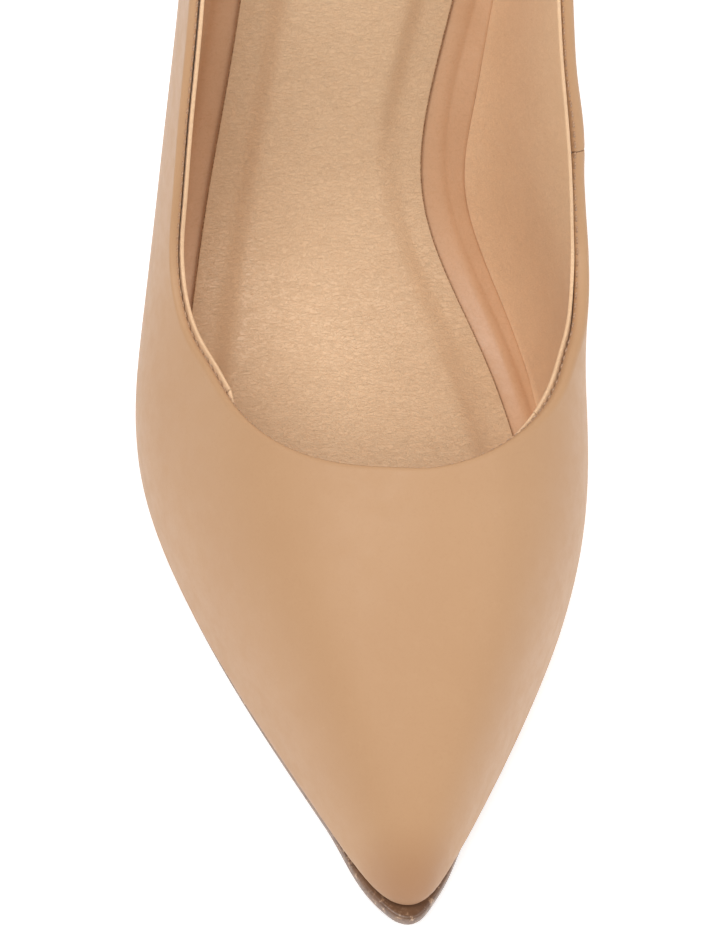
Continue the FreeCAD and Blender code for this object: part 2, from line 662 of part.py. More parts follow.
def make_bottom(doc, last, d):
    bottom = last.bottom

    def moved(outset):
        return lambda station: outset

    board = new_body(doc, "insole_board")
    spine = spine_sketch(board, bottom, d)
    add_pipe(board, bottom, d, spine, "_front_ply", "dims.plate_blank_width", "0",
             "dims.shank_board_thickness + dims.layer_gap")
    trim(board, doc, "_front_ply", outline(last, moved(-2 * d.plate_inset), 0, s_from=d.shank_board_end))
    add_pipe(board, bottom, d, spine, "_top_ply", "dims.plate_blank_width", "dims.shank_board_thickness",
             "dims.board_thickness")
    trim(board, doc, "_top_ply", outline(last, moved(-d.plate_inset),
                                         (d.shank_board_thickness + d.board_thickness) / 2))
    cut_fastener_holes(doc, bottom, d, board, "dims.board_thickness", True)
    yield board

    shank_board = make_plate(doc, last, d, "shank_board", "0",
                             "dims.shank_board_thickness - dims.glue_gap", moved(-d.plate_inset),
                             s_to=d.shank_board_end - d.ply_gap)
    cut_fastener_holes(doc, bottom, d, shank_board, "dims.board_thickness", False)
    yield shank_board

    blank = make_plate(doc, last, d, "insole_cover_blank", "dims.glue_gap", COVER_TOP, moved(-d.layer_gap))
    inside = make_plate(doc, last, d, "insole_cover_inside", "-dims.overcut",
                        "dims.board_thickness + dims.glue_gap",
                        moved(-d.plate_inset + d.glue_gap))
    cover = doc.addObject("Part::Cut", "insole_cover")
    cover.Base, cover.Tool = blank, inside
    cover.Label = "insole_cover"
    yield cover

    yield make_plate(doc, last, d, "sock_foam", COVER_TOP + " + dims.glue_gap",
                     COVER_TOP + " + dims.foam_thickness", moved(-d.foam_inset), s_to=d.foam_to)
    filler_top = "-dims.layer_gap"
    yield make_plate(doc, last, d, "forepart_filler", filler_top + " - dims.filler_thickness", filler_top,
                     moved(-d.filler_inset), s_from=d.filler_from, s_to=d.filler_to)
    yield make_steel_shank(doc, bottom, d)

    def sole_edge(station):
        near_tip = 1 - smooth(abs(station % COUNT - TOE), *SOLE_RIM_REACH)
        return d.outsole_edge + (d.outsole_tip_edge - d.outsole_edge) * near_tip

    yield make_plate(doc, last, d, "outsole", "-%s - dims.outsole_thickness" % SOLE_TOP, "-" + SOLE_TOP,
                     sole_edge, s_from=d.heel_seat + d.overcut)


def cut_fastener_holes(doc, bottom, d, body, level, with_heads):
    """Holes for the heel screw, the heel nails and the shank rivets."""
    through = "dims.board_thickness + dims.overcut"
    cut_holes(body, doc, bottom, d, "_screw_hole", level, ((SCREW_AT, 0),),
              "dims.screw_radius + dims.hole_gap", through)
    cut_holes(body, doc, bottom, d, "_nail_holes", level, NAILS, "dims.nail_radius + dims.hole_gap", through)
    for s in RIVETS_AT:
        cut_holes(body, doc, bottom, d, "_rivet_hole_%d" % s, level, ((s, 0),),
                  "dims.rivet_radius + dims.hole_gap", through)
    if with_heads:
        cut_holes(body, doc, bottom, d, "_screw_head", level, ((SCREW_AT, 0),),
                  "dims.screw_head_radius + dims.hole_gap", "dims.screw_head_height + dims.hole_gap")
        cut_holes(body, doc, bottom, d, "_nail_heads", level, NAILS,
                  "dims.nail_head_radius + dims.hole_gap", "dims.nail_head_height + dims.hole_gap")
        for s in RIVETS_AT:
            cut_holes(body, doc, bottom, d, "_rivet_head_%d" % s, level, ((s, 0),),
                      "dims.rivet_head_radius + dims.hole_gap", "dims.rivet_head_height + dims.hole_gap")


def make_steel_shank(doc, bottom, d):
    """Spring steel strip with a pressed rib along its middle."""
    body = new_body(doc, "steel_shank")
    spine = spine_sketch(body, bottom, d)
    bottom_face = "-dims.layer_gap - dims.steel_thickness"
    add_pipe(body, bottom, d, spine, "_rib", "dims.rib_width", bottom_face + " - dims.rib_height",
             bottom_face + " + dims.rib_height")
    level = -d.layer_gap - d.steel_thickness / 2
    trim(body, doc, "_rib", slot_outline(bottom, d.rib_from, d.rib_to, d.rib_width / 2, level))
    add_pipe(body, bottom, d, spine, "_strip", "dims.shank_width", bottom_face, "-dims.layer_gap")
    trim(body, doc, "_strip", slot_outline(bottom, d.shank_from, d.shank_to, d.shank_width / 2, level))
    through = "dims.steel_thickness + 2 * dims.overcut"
    cut_holes(body, doc, bottom, d, "_screw_hole", "0", ((SCREW_AT, 0),),
              "dims.screw_radius + dims.hole_gap", through)
    for s in RIVETS_AT:
        cut_holes(body, doc, bottom, d, "_rivet_hole_%d" % s, "0", ((s, 0),),
                  "dims.rivet_radius + dims.hole_gap", through)
    return body


def make_sock(doc, last, d):
    """Leather sock draped over the foam pad: flat on the cover at its edge, raised over the pad."""
    bottom = last.bottom
    low_level = number(d, COVER_TOP) + d.glue_gap
    inset = -d.sock_inset
    s_back, s_front = last.feather(BACK, inset)[0], last.feather(TOE, inset)[0]
    lower, upper = [], []
    for share in steps(0, 1, SOCK_ROWS):
        eased = SOCK_END_SHARE + (1 - 2 * SOCK_END_SHARE) * (1 - cos(pi * share)) / 2
        s = s_back + (s_front - s_back) * eased
        inner_x = last.feather(last.station_at(s, 1, inset), inset)[1]
        outer_x = last.feather(last.station_at(s, -1, inset), inset)[1]
        row = []
        for x in steps(outer_x, inner_x, SOCK_POINTS):
            to_edge = min(x - outer_x, inner_x - x, s - s_back, s_front - s)
            raised = smooth(to_edge, *FOAM_SHOULDER) * (d.foam_thickness + d.glue_gap)
            row.append((s, x, low_level + raised))
        lower.append([bottom.point(s, x, level) for s, x, level in row])
        upper.append([bottom.point(s, x, level + d.sock_thickness) for s, x, level in row])
    return add_feature(doc, "sock_lining", slab(upper, lower))


# ---------------------------------------------------------------- heel

def heel_section(last, d, share, grow):
    """D-shaped section of the heel: local points round the back, at a share of its height."""
    half_width, half_length = d.lift_width / 2 + grow, d.lift_length / 2 + grow
    corner = radians(BREAST_CORNER)
    seat_end = d.heel_seat + grow
    outset = d.heel_outset + grow
    start = last.station_at(seat_end, -1, outset) - COUNT
    end = last.station_at(seat_end, 1, outset)
    axis_s = last.bottom.start[0] / cos(last.bottom.at(0)[2])
    points = []
    for station, angle in zip(steps(start, end, HEEL_POINTS), steps(corner, 2 * pi - corner, HEEL_POINTS)):
        base_x, base_y = -half_width * sin(angle), -half_length * cos(angle)
        s, top_x = last.feather(station, outset)
        top_y = axis_s - s
        x = base_x + (top_x - base_x) * share ** WIDTH_GROWTH
        y = base_y + (top_y - base_y) * share ** (BREAST_GROWTH if base_y < 0 else BACK_GROWTH)
        points.append(Vector(x, y, 0))
    return points


def heel_plane(last, d, share):
    """Plane of a heel section: level on the lift and tilted to the seat at the top."""
    slope = last.bottom.at(0)[2]
    seat_height = last.bottom.start[1] - last.bottom.start[0] * sin(slope) / cos(slope)
    top = seat_height - sole_top(d) / cos(slope)
    height = d.heel_base + (top - d.heel_base) * share
    tilt = degrees(slope) * share ** TILT_GROWTH
    return FreeCAD.Placement(Vector(0, 0, height), FreeCAD.Rotation(X_AXIS, tilt))


def loft_heel(body, last, d, kind, grow, name):
    sketches = []
    for index, share in enumerate(HEEL_LEVELS):
        sketch = new_sketch(body, "%s_%s_%d" % (body.Name, name, index), "XY_Plane",
                            heel_plane(last, d, share))
        points = heel_section(last, d, share, grow)
        curve = Part.BSplineCurve()
        curve.interpolate(points)
        for part in (curve, Part.LineSegment(points[-1], points[0])):
            sketch.addConstraint(Sketcher.Constraint("Block", sketch.addGeometry(part)))
        sketches.append(sketch)
    loft = body.newObject("PartDesign::" + kind, "%s_%s" % (body.Name, name))
    loft.Profile = sketches[0]
    loft.Sections = sketches[1:]
    loft.Ruled = False
    return loft


def make_heel_block(doc, last, d):
    body = new_body(doc, "heel_block")
    loft_heel(body, last, d, "AdditiveLoft", 0, "loft")
    doc.recompute()
    bore = new_sketch(body, "heel_block_bore", "XY_Plane",
                      FreeCAD.Placement(Vector(0, 0, d.tube_top), FreeCAD.Rotation()))
    index = bore.addGeometry(Part.Circle(Vector(), Vector(0, 0, 1), d.tube_radius + d.press_gap))
    bore.addConstraint(Sketcher.Constraint("Coincident", index, 3, -1, 1))
    drive(bore, Sketcher.Constraint("Radius", index, d.tube_radius + d.press_gap),
          "dims.tube_radius + dims.press_gap")
    pocket = body.newObject("PartDesign::Pocket", "heel_block_tube_bore")
    pocket.Profile = bore
    pocket.Type = "Length"
    pocket.setExpression("Length", "dims.tube_top")
    level = "-" + SOLE_TOP
    cut_holes(body, doc, last.bottom, d, "_screw_hole", level, ((SCREW_AT, 0),),
              "dims.screw_radius + dims.press_gap", "dims.screw_length - dims.board_thickness")
    cut_holes(body, doc, last.bottom, d, "_nail_holes", level, NAILS,
              "dims.nail_radius + dims.press_gap", "dims.nail_length - dims.board_thickness")
    return body


def make_heel_cover(doc, last, d):
    """Leather wrapped round the heel block, open at the seat and at the top lift."""
    body = new_body(doc, "heel_cover")
    loft_heel(body, last, d, "AdditiveLoft", d.cover_leather, "outside")
    doc.recompute()
    before = body.Shape.Volume
    loft_heel(body, last, d, "SubtractiveLoft", d.glue_gap, "inside")
    doc.recompute()
    if not 0 < body.Shape.Volume < before / 2:
        raise RuntimeError("heel_cover: the inside was not cut")
    return body


def make_top_lift(doc, last, d):
    body = new_body(doc, "top_lift")
    sketch = new_sketch(body, "top_lift_outline")
    points = heel_section(last, d, 0, d.cover_leather)
    curve = Part.BSplineCurve()
    curve.interpolate(points)
    for part in (curve, Part.LineSegment(points[-1], points[0])):
        sketch.addConstraint(Sketcher.Constraint("Block", sketch.addGeometry(part)))
    pad = body.newObject("PartDesign::Pad", "top_lift_pad")
    pad.Profile = sketch
    pad.setExpression("Length", "dims.lift_height")
    doc.recompute()
    lowest = [i for i, edge in enumerate(body.Shape.Edges, start=1) if edge.BoundBox.ZMax < 0.01]
    fillet = body.newObject("PartDesign::Fillet", "top_lift_rounding")
    fillet.Base = (pad, ["Edge%d" % i for i in lowest])
    fillet.setExpression("Radius", "dims.lift_rounding")
    doc.recompute()
    gap = d.press_gap
    profile = ((0, d.pin_bottom - gap), (d.pin_head_radius + gap, d.pin_bottom - gap),
               (d.pin_head_radius + gap, d.pin_bottom + d.pin_head_height + gap),
               (d.pin_radius + gap, d.pin_bottom + d.pin_head_height + gap),
               (d.pin_radius + gap, d.lift_height + d.overcut), (0, d.lift_height + d.overcut))
    before = body.Shape.Volume
    revolve(body, doc, "Groove", "top_lift_pin_seat", profile)
    if not 0 < body.Shape.Volume < before:
        raise RuntimeError("top_lift: the pin's seat was not cut")
    return body


def revolve(body, doc, kind, name, profile):
    """Turn a closed profile of (radius, height) corners about the vertical axis."""
    sketch = new_sketch(body, name + "_profile", "XZ_Plane")
    corners = [Vector(radius, height, 0) for radius, height in profile]
    for i, corner in enumerate(corners):
        index = sketch.addGeometry(Part.LineSegment(corner, corners[(i + 1) % len(corners)]))
        sketch.addConstraint(Sketcher.Constraint("Block", index))
    feature = body.newObject("PartDesign::" + kind, name)
    feature.Profile = sketch
    feature.ReferenceAxis = (sketch, ["V_Axis"])
    feature.Angle = 360
    doc.recompute()
    return feature


def make_turned(doc, d, name, profile):
    """Round piece on the vertical axis; each corner is a pair of expressions (radius, height)."""
    body = new_body(doc, name)
    sketch = new_sketch(body, name + "_profile", "XZ_Plane")
    corners = [Vector(number(d, radius), number(d, height), 0) for radius, height in profile]
    count = len(corners)
    for i in range(count):
        sketch.addGeometry(Part.LineSegment(corners[i], corners[(i + 1) % count]))
    for i in range(count):
        sketch.addConstraint(Sketcher.Constraint("Coincident", i, 2, (i + 1) % count, 1))
    for i, (radius, height) in enumerate(profile):
        if radius == "0":
            sketch.addConstraint(Sketcher.Constraint("PointOnObject", i, 1, -2))
        else:
            drive(sketch, Sketcher.Constraint("DistanceX", -1, 1, i, 1, corners[i].x), radius)
        if height == "0":
            sketch.addConstraint(Sketcher.Constraint("PointOnObject", i, 1, -1))
        else:
            drive(sketch, Sketcher.Constraint("DistanceY", -1, 1, i, 1, corners[i].y), height)
    feature = body.newObject("PartDesign::Revolution", name + "_turned")
    feature.Profile = sketch
    feature.ReferenceAxis = (sketch, ["V_Axis"])
    feature.Angle = 360
    doc.recompute()
    return body


def headed_profile(head_radius, head_height, radius, length):
    """Fastener hanging down from the origin: flat head, shaft and pointed tip."""
    taper = "-(%s) + dims.tip_length" % length
    return (("0", "0"), (head_radius, "0"), (head_radius, "-(%s)" % head_height),
            (radius, "-(%s)" % head_height), (radius, taper), ("dims.tip_radius", "-(%s)" % length),
            ("0", "-(%s)" % length))


def placed_copies(doc, name, master, placements):
    """One node of several separate solids, copies of a master piece."""
    copies = []
    for index, placement in enumerate(placements):
        copy = doc.addObject("Part::Feature", "%s_%d" % (name, index))
        copy.Shape = master.Shape
        copy.Placement = placement
        copies.append(copy)
    group = doc.addObject("Part::Compound", name)
    group.Links = copies
    group.Label = name
    return group


def make_fasteners(doc, last, d):
    bottom = last.bottom
    nail = make_turned(doc, d, "nail", headed_profile(
        "dims.nail_head_radius", "dims.nail_head_height", "dims.nail_radius",
        "dims.nail_length - dims.tip_radius"))
    level = d.board_thickness
    yield placed_copies(doc, "heel_nails", nail, [bottom_plane(bottom, NAILS, s, x, level)
                                                  for s, x in NAILS])
    screw = make_turned(doc, d, "heel_screw", headed_profile(
        "dims.screw_head_radius", "dims.screw_head_height", "dims.screw_radius",
        "dims.screw_length - dims.tip_radius"))
    screw.Placement = bottom.plane(SCREW_AT, 0, level)
    yield screw
    under = "-(dims.board_thickness + dims.layer_gap + dims.steel_thickness)"
    rivet = make_turned(doc, d, "rivet", (
        ("0", "0"), ("dims.rivet_head_radius", "0"), ("dims.rivet_head_radius", "-dims.rivet_head_height"),
        ("dims.rivet_radius", "-dims.rivet_head_height"), ("dims.rivet_radius", under),
        ("dims.rivet_head_radius", under), ("dims.rivet_head_radius", under + " - dims.rivet_head_height"),
        ("0", under + " - dims.rivet_head_height")))
    yield placed_copies(doc, "shank_rivets", rivet, [bottom.plane(s, 0, level) for s in RIVETS_AT])
    yield make_turned(doc, d, "top_lift_pin", (
        ("0", "dims.pin_bottom"), ("dims.pin_head_radius", "dims.pin_bottom"),
        ("dims.pin_head_radius", "dims.pin_bottom + dims.pin_head_height"),
        ("dims.pin_radius", "dims.pin_bottom + dims.pin_head_height"),
        ("dims.pin_radius", "dims.pin_top"), ("0", "dims.pin_top")))


def bottom_plane(bottom, places, s, x, level):
    """Frame of one fastener in a group whose holes share the slope of the group's first place."""
    first = bottom.plane(places[0][0], 0, level)
    shift = first.Rotation.multVec(Vector(x, places[0][0] - s, 0))
    return FreeCAD.Placement(first.Base + shift, first.Rotation)


def make_heel_tube(doc, d):
    """Rolled steel tube with a lengthwise slot, pressed into the heel block."""
    body = new_body(doc, "heel_tube")
    sketch = new_sketch(body, "heel_tube_section", "XY_Plane",
                        FreeCAD.Placement(Vector(0, 0, d.tube_bottom), FreeCAD.Rotation()))
    sketch.setExpression("AttachmentOffset.Base.z", "dims.tube_bottom")
    for radius in ("dims.tube_radius", "dims.tube_radius - dims.tube_wall"):
        index = sketch.addGeometry(Part.Circle(Vector(), Vector(0, 0, 1), number(d, radius)))
        sketch.addConstraint(Sketcher.Constraint("Coincident", index, 3, -1, 1))
        drive(sketch, Sketcher.Constraint("Radius", index, number(d, radius)), radius)
    pad = body.newObject("PartDesign::Pad", "heel_tube_pad")
    pad.Profile = sketch
    pad.setExpression("Length", "dims.tube_top - dims.tube_bottom - dims.tube_slot")
    doc.recompute()
    before = body.Shape.Volume
    slot = new_sketch(body, "heel_tube_slot")
    rectangle(slot, d, ("-dims.tube_slot / 2", "dims.tube_slot / 2", "-dims.tube_radius - dims.overcut",
                        "dims.tube_slot - dims.tube_radius + dims.tube_wall"))
    pocket = body.newObject("PartDesign::Pocket", "heel_tube_slot_cut")
    pocket.Profile = slot
    pocket.Type = "ThroughAll"
    pocket.Reversed = True
    doc.recompute()
    if not 0 < body.Shape.Volume < before:
        raise RuntimeError("heel_tube: the slot was not cut")
    return body


# ---------------------------------------------------------------- build and export

def make_all(doc, d):
    last = Last(Bottom(d))
    parts = []
    for maker in (make_uppers, make_linings, make_stiffeners, make_threads, make_bottom, make_fasteners):
        parts.extend(maker(doc, last, d))
    parts.append(make_sock(doc, last, d))
    parts.append(make_heel_block(doc, last, d))
    parts.append(make_heel_cover(doc, last, d))
    parts.append(make_top_lift(doc, last, d))
    parts.append(make_heel_tube(doc, d))
    return parts


def check(doc, parts):
    for item in doc.Objects:
        if "Invalid" in item.State or "Error" in item.State:
            raise RuntimeError("%s failed: %s" % (item.Name, item.State))
    for part in parts:
        if part.Shape.isNull() or not part.Shape.isValid() or not part.Shape.Solids:
            raise RuntimeError(part.Label + " has no valid solid")


def main():
    doc = FreeCAD.newDocument("high_heel_pump")
    sheet = make_sheet(doc)
    parts = make_all(doc, sheet)
    doc.recompute()
    check(doc, parts)
    os.makedirs("parts", exist_ok=True)
    for part in parts:
        part.Shape.exportStep("parts/%s.step" % part.Label)


main()
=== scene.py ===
import math
from collections import defaultdict

import bpy
import numpy as np
from mathutils import Matrix, Vector
from mathutils.bvhtree import BVHTree


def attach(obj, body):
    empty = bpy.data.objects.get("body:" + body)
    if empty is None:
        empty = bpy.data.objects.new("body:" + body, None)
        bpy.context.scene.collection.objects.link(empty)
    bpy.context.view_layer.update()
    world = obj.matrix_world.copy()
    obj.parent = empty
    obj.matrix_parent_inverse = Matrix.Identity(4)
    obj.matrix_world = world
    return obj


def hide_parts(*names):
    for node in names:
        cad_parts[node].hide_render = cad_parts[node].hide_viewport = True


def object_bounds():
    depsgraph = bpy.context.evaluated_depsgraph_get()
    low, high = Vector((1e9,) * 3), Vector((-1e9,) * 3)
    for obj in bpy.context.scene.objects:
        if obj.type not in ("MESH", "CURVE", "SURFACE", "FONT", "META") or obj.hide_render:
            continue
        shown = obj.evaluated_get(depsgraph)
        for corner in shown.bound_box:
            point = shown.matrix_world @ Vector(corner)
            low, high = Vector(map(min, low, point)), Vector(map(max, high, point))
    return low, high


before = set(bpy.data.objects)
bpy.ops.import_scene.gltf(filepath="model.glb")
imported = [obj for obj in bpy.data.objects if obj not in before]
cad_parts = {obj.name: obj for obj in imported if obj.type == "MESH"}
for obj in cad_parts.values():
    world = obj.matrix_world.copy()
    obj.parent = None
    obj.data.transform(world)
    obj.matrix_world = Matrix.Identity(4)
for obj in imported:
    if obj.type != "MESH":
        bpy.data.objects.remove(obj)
cad_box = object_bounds()
UP = np.array((0.0, 0.0, 1.0))
CREASE_ANGLE = 45                            # degrees between faces from which an edge counts as sharp


# ------------------------------------------------------------------ reading the CAD meshes

def node_arrays(name):
    """Welded vertices and triangles of a CAD node."""
    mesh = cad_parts[name].data
    points = np.zeros(len(mesh.vertices) * 3)
    mesh.vertices.foreach_get("co", points)
    points = points.reshape(-1, 3)
    corners = np.zeros(len(mesh.polygons) * 3, int)
    mesh.polygons.foreach_get("vertices", corners)
    _, first, welded = np.unique(np.round(points * 1e7), axis=0, return_index=True, return_inverse=True)
    return points[first], welded.reshape(-1)[corners].reshape(-1, 3)


def tree(*names):
    """CAD nodes as one surface that rays can be cast on."""
    points, faces, start = [], [], 0
    for name in names:
        own, triangles = node_arrays(name)
        points.extend(own.tolist())
        faces.extend((triangles + start).tolist())
        start += len(own)
    return BVHTree.FromPolygons(points, faces)


def length_of(points):
    return np.linalg.norm(np.diff(points, axis=0), axis=1).sum()


def creases(name):
    """Sharp edges of a CAD node as polylines, longest first."""
    points, triangles = node_arrays(name)
    a, b, c = (points[triangles[:, k]] for k in range(3))
    normals = np.cross(b - a, c - a)
    normals /= np.maximum(np.linalg.norm(normals, axis=1, keepdims=True), 1e-20)
    faces_at = defaultdict(list)
    for index, (i, j, k) in enumerate(triangles):
        for edge in ((i, j), (j, k), (k, i)):
            faces_at[min(edge), max(edge)].append(index)
    limit = math.cos(math.radians(CREASE_ANGLE))
    near = defaultdict(list)
    for (i, j), found in faces_at.items():
        if len(found) == 2 and normals[found[0]] @ normals[found[1]] < limit:
            near[i].append(j)
            near[j].append(i)
    used, chains = set(), []

    def walk(i, j):
        chain = [i, j]
        used.add((min(i, j), max(i, j)))
        while len(near[chain[-1]]) == 2:
            after = [k for k in near[chain[-1]] if k != chain[-2]]
            edge = (min(chain[-1], after[0]), max(chain[-1], after[0])) if after else None
            if edge is None or edge in used:
                break
            used.add(edge)
            chain.append(after[0])
        return chain

    for ends_only in (True, False):
        for i in sorted(near):
            if ends_only and len(near[i]) == 2:
                continue
            for j in near[i]:
                if (min(i, j), max(i, j)) not in used:
                    chains.append(points[walk(i, j)])
    return sorted(chains, key=length_of, reverse=True)


def towards(chain, start):
    """The chain, turned round if its far end is nearer to start."""
    start = np.array(start)
    flip = np.linalg.norm(chain[-1] - start) < np.linalg.norm(chain[0] - start)
    return chain[::-1] if flip else chain


def joined(*chains):
    """One polyline from chains that follow each other."""
    result = chains[0]
    for chain in chains[1:]:
        result = np.vstack((result, towards(chain, result[-1])))
    keep = np.r_[True, np.linalg.norm(np.diff(result, axis=0), axis=1) > 2e-4]
    return result[keep]


def resampled(points, shares):
    """Points at shares of the length along a smooth curve through the polyline."""
    lengths = np.r_[0, np.cumsum(np.linalg.norm(np.diff(points, axis=0), axis=1))]
    slopes = np.gradient(points, lengths, axis=0)
    at = np.asarray(shares) * lengths[-1]
    i = np.clip(np.searchsorted(lengths, at) - 1, 0, len(points) - 2)
    span = lengths[i + 1] - lengths[i]
    t = ((at - lengths[i]) / span)[:, None]
    span = span[:, None]
    return ((2 * t ** 3 - 3 * t ** 2 + 1) * points[i] + (t ** 3 - 2 * t ** 2 + t) * span * slopes[i]
            + (3 * t ** 2 - 2 * t ** 3) * points[i + 1] + (t ** 3 - t ** 2) * span * slopes[i + 1])


def blurred(grid, passes, axis, closed=False):
    """Smoothing along one axis that keeps size: each pass is followed by a slightly larger step back."""
    for _ in range(passes):
        for factor in (0.33, -0.34):
            if closed:
                middle = (np.roll(grid, 1, axis) + np.roll(grid, -1, axis)) / 2
                grid = grid + factor * (middle - grid)
            else:
                grid = np.moveaxis(grid, axis, 0).copy()
                grid[1:-1] += factor * ((grid[:-2] + grid[2:]) / 2 - grid[1:-1])
                grid = np.moveaxis(grid, 0, axis)
    return grid


def unit(vectors):
    return vectors / np.maximum(np.linalg.norm(vectors, axis=-1, keepdims=True), 1e-12)


def step(value, low, high):
    """0 below low, 1 above high and a smooth rise between them."""
    part = np.clip((value - low) / (high - low), 0, 1)
    return part * part * (3 - 2 * part)


# ------------------------------------------------------------------ meshes

def grid_faces(rows, columns, closed_rows=False, closed_columns=False):
    """Quads of a grid whose points are numbered row by row."""
    faces = []
    for i in range(rows if closed_rows else rows - 1):
        for j in range(columns if closed_columns else columns - 1):
            a, b = i * columns + j, i * columns + (j + 1) % columns
            k = (i + 1) % rows
            faces.append((a, b, k * columns + (j + 1) % columns, k * columns + j))
    return faces


def piece(name, points, faces, material, slot, *replaced, masks=None, smooth_levels=1):
    """A mesh that belongs to the shoe and stands for CAD nodes."""
    mesh = bpy.data.meshes.new(name)
    mesh.from_pydata(np.asarray(points).reshape(-1, 3).tolist(), [], faces)
    for mask_name, values in (masks or {}).items():
        attribute = mesh.attributes.new(mask_name, "FLOAT", "POINT")
        attribute.data.foreach_set("value", np.asarray(values, np.float32).ravel())
    mesh.update()
    mesh.polygons.foreach_set("use_smooth", [True] * len(mesh.polygons))
    mesh.materials.append(material)
    obj = bpy.data.objects.new(name, mesh)
    bpy.context.scene.collection.objects.link(obj)
    if smooth_levels:
        modifier = obj.modifiers.new("smooth", "SUBSURF")
        modifier.levels = modifier.render_levels = smooth_levels
    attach(obj, "root")
    if replaced:
        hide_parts(*replaced)
    return obj


def capped(rows, columns):
    """Quads of a ring-shaped grid whose ends are closed by a strip across its thickness."""
    faces = grid_faces(rows, columns, closed_columns=True)
    last = (rows - 1) * columns
    for j in range(columns // 2 - 1):
        cap = (j, j + 1, columns - 2 - j, columns - 1 - j)
        faces.append(cap)
        faces.append(tuple(last + k for k in reversed(cap)))
    return faces


# ------------------------------------------------------------------ materials

def srgb(red, green, blue):
    """Linear colour from 0-255 display values."""
    values = [c / 255 for c in (red, green, blue)]
    return tuple(c / 12.92 if c <= 0.04045 else ((c + 0.055) / 1.055) ** 2.4 for c in values) + (1.0,)


class Graph:
    """A procedural material; add() makes a node and wires or sets its inputs."""

    def __init__(self, name):
        self.material = bpy.data.materials.new(name)
        self.material.use_nodes = True
        self.tree = self.material.node_tree
        self.surface = self.tree.nodes["Principled BSDF"]
        self.place = self.add("ShaderNodeTexCoord").outputs["Object"]

    def add(self, kind, settings=None, **inputs):
        node = self.tree.nodes.new(kind)
        for key, value in (settings or {}).items():
            setattr(node, key, value)
        for key, value in inputs.items():
            self.put(node, key.replace("_", " "), value)
        return node

    def put(self, node, key, value):
        socket = node.inputs[int(key)] if key.isdigit() else node.inputs[key]
        if isinstance(value, bpy.types.NodeSocket):
            self.tree.links.new(value, socket)
        else:
            socket.default_value = value

    def finish(self, **inputs):
        for key, value in inputs.items():
            self.put(self.surface, key.replace("_", " "), value)
        return self.material

    def noise(self, size, detail=3.0, rough=0.5, warp=0.0, place=None):
        """Noise whose features are about size millimetres."""
        return self.add("ShaderNodeTexNoise", Vector=place or self.place, Scale=1000 / size, Detail=detail,
                        Roughness=rough, Distortion=warp).outputs["Fac"]

    def cells(self, size, place=None):
        """Rounded cells about size millimetres across."""
        node = self.add("ShaderNodeTexVoronoi", {"feature": "F1"}, Vector=place or self.place,
                        Scale=1000 / size)
        return node.outputs["Distance"]

    def warped(self, size, amount):
        """Object position pushed about by noise, amount in millimetres."""
        noise = self.add("ShaderNodeTexNoise", Vector=self.place, Scale=1000 / size, Detail=2.0)
        centred = self.add("ShaderNodeVectorMath", {"operation": "SUBTRACT"})
        self.put(centred, "0", noise.outputs["Color"])
        centred.inputs[1].default_value = (0.5, 0.5, 0.5)
        scaled = self.add("ShaderNodeVectorMath", {"operation": "SCALE"}, Scale=amount / 1000)
        self.put(scaled, "0", centred.outputs[0])
        moved = self.add("ShaderNodeVectorMath", {"operation": "ADD"})
        self.put(moved, "0", self.place)
        self.put(moved, "1", scaled.outputs[0])
        return moved.outputs[0]

    def span(self, value, low, high, to_low=0.0, to_high=1.0):
        """The value's range low to high turned smoothly into to_low to to_high."""
        node = self.add("ShaderNodeMapRange", {"interpolation_type": "SMOOTHSTEP"}, Value=value,
                        From_Min=low, From_Max=high, To_Min=to_low, To_Max=to_high)
        return node.outputs["Result"]

    def math(self, operation, first, second):
        node = self.add("ShaderNodeMath", {"operation": operation})
        self.put(node, "0", first)
        self.put(node, "1", second)
        return node.outputs[0]

    def mix(self, share, first, second):
        node = self.add("ShaderNodeMix", {"data_type": "RGBA", "blend_type": "MIX"})
        self.put(node, "0", share)
        self.put(node, "6", first)
        self.put(node, "7", second)
        return node.outputs[2]

    def bump(self, height, depth, strength=1.0, under=None):
        """Bump of depth millimetres."""
        node = self.add("ShaderNodeBump", Height=height, Strength=strength, Distance=depth / 1000)
        if under is not None:
            self.put(node, "Normal", under)
        return node.outputs["Normal"]

    def mask(self, name):
        return self.add("ShaderNodeAttribute", {"attribute_name": name}).outputs["Fac"]

    def along_y(self):
        return self.add("ShaderNodeSeparateXYZ", Vector=self.place).outputs["Y"]


TOE_TIP = cad_box[0][1]                      # foremost point of the shoe


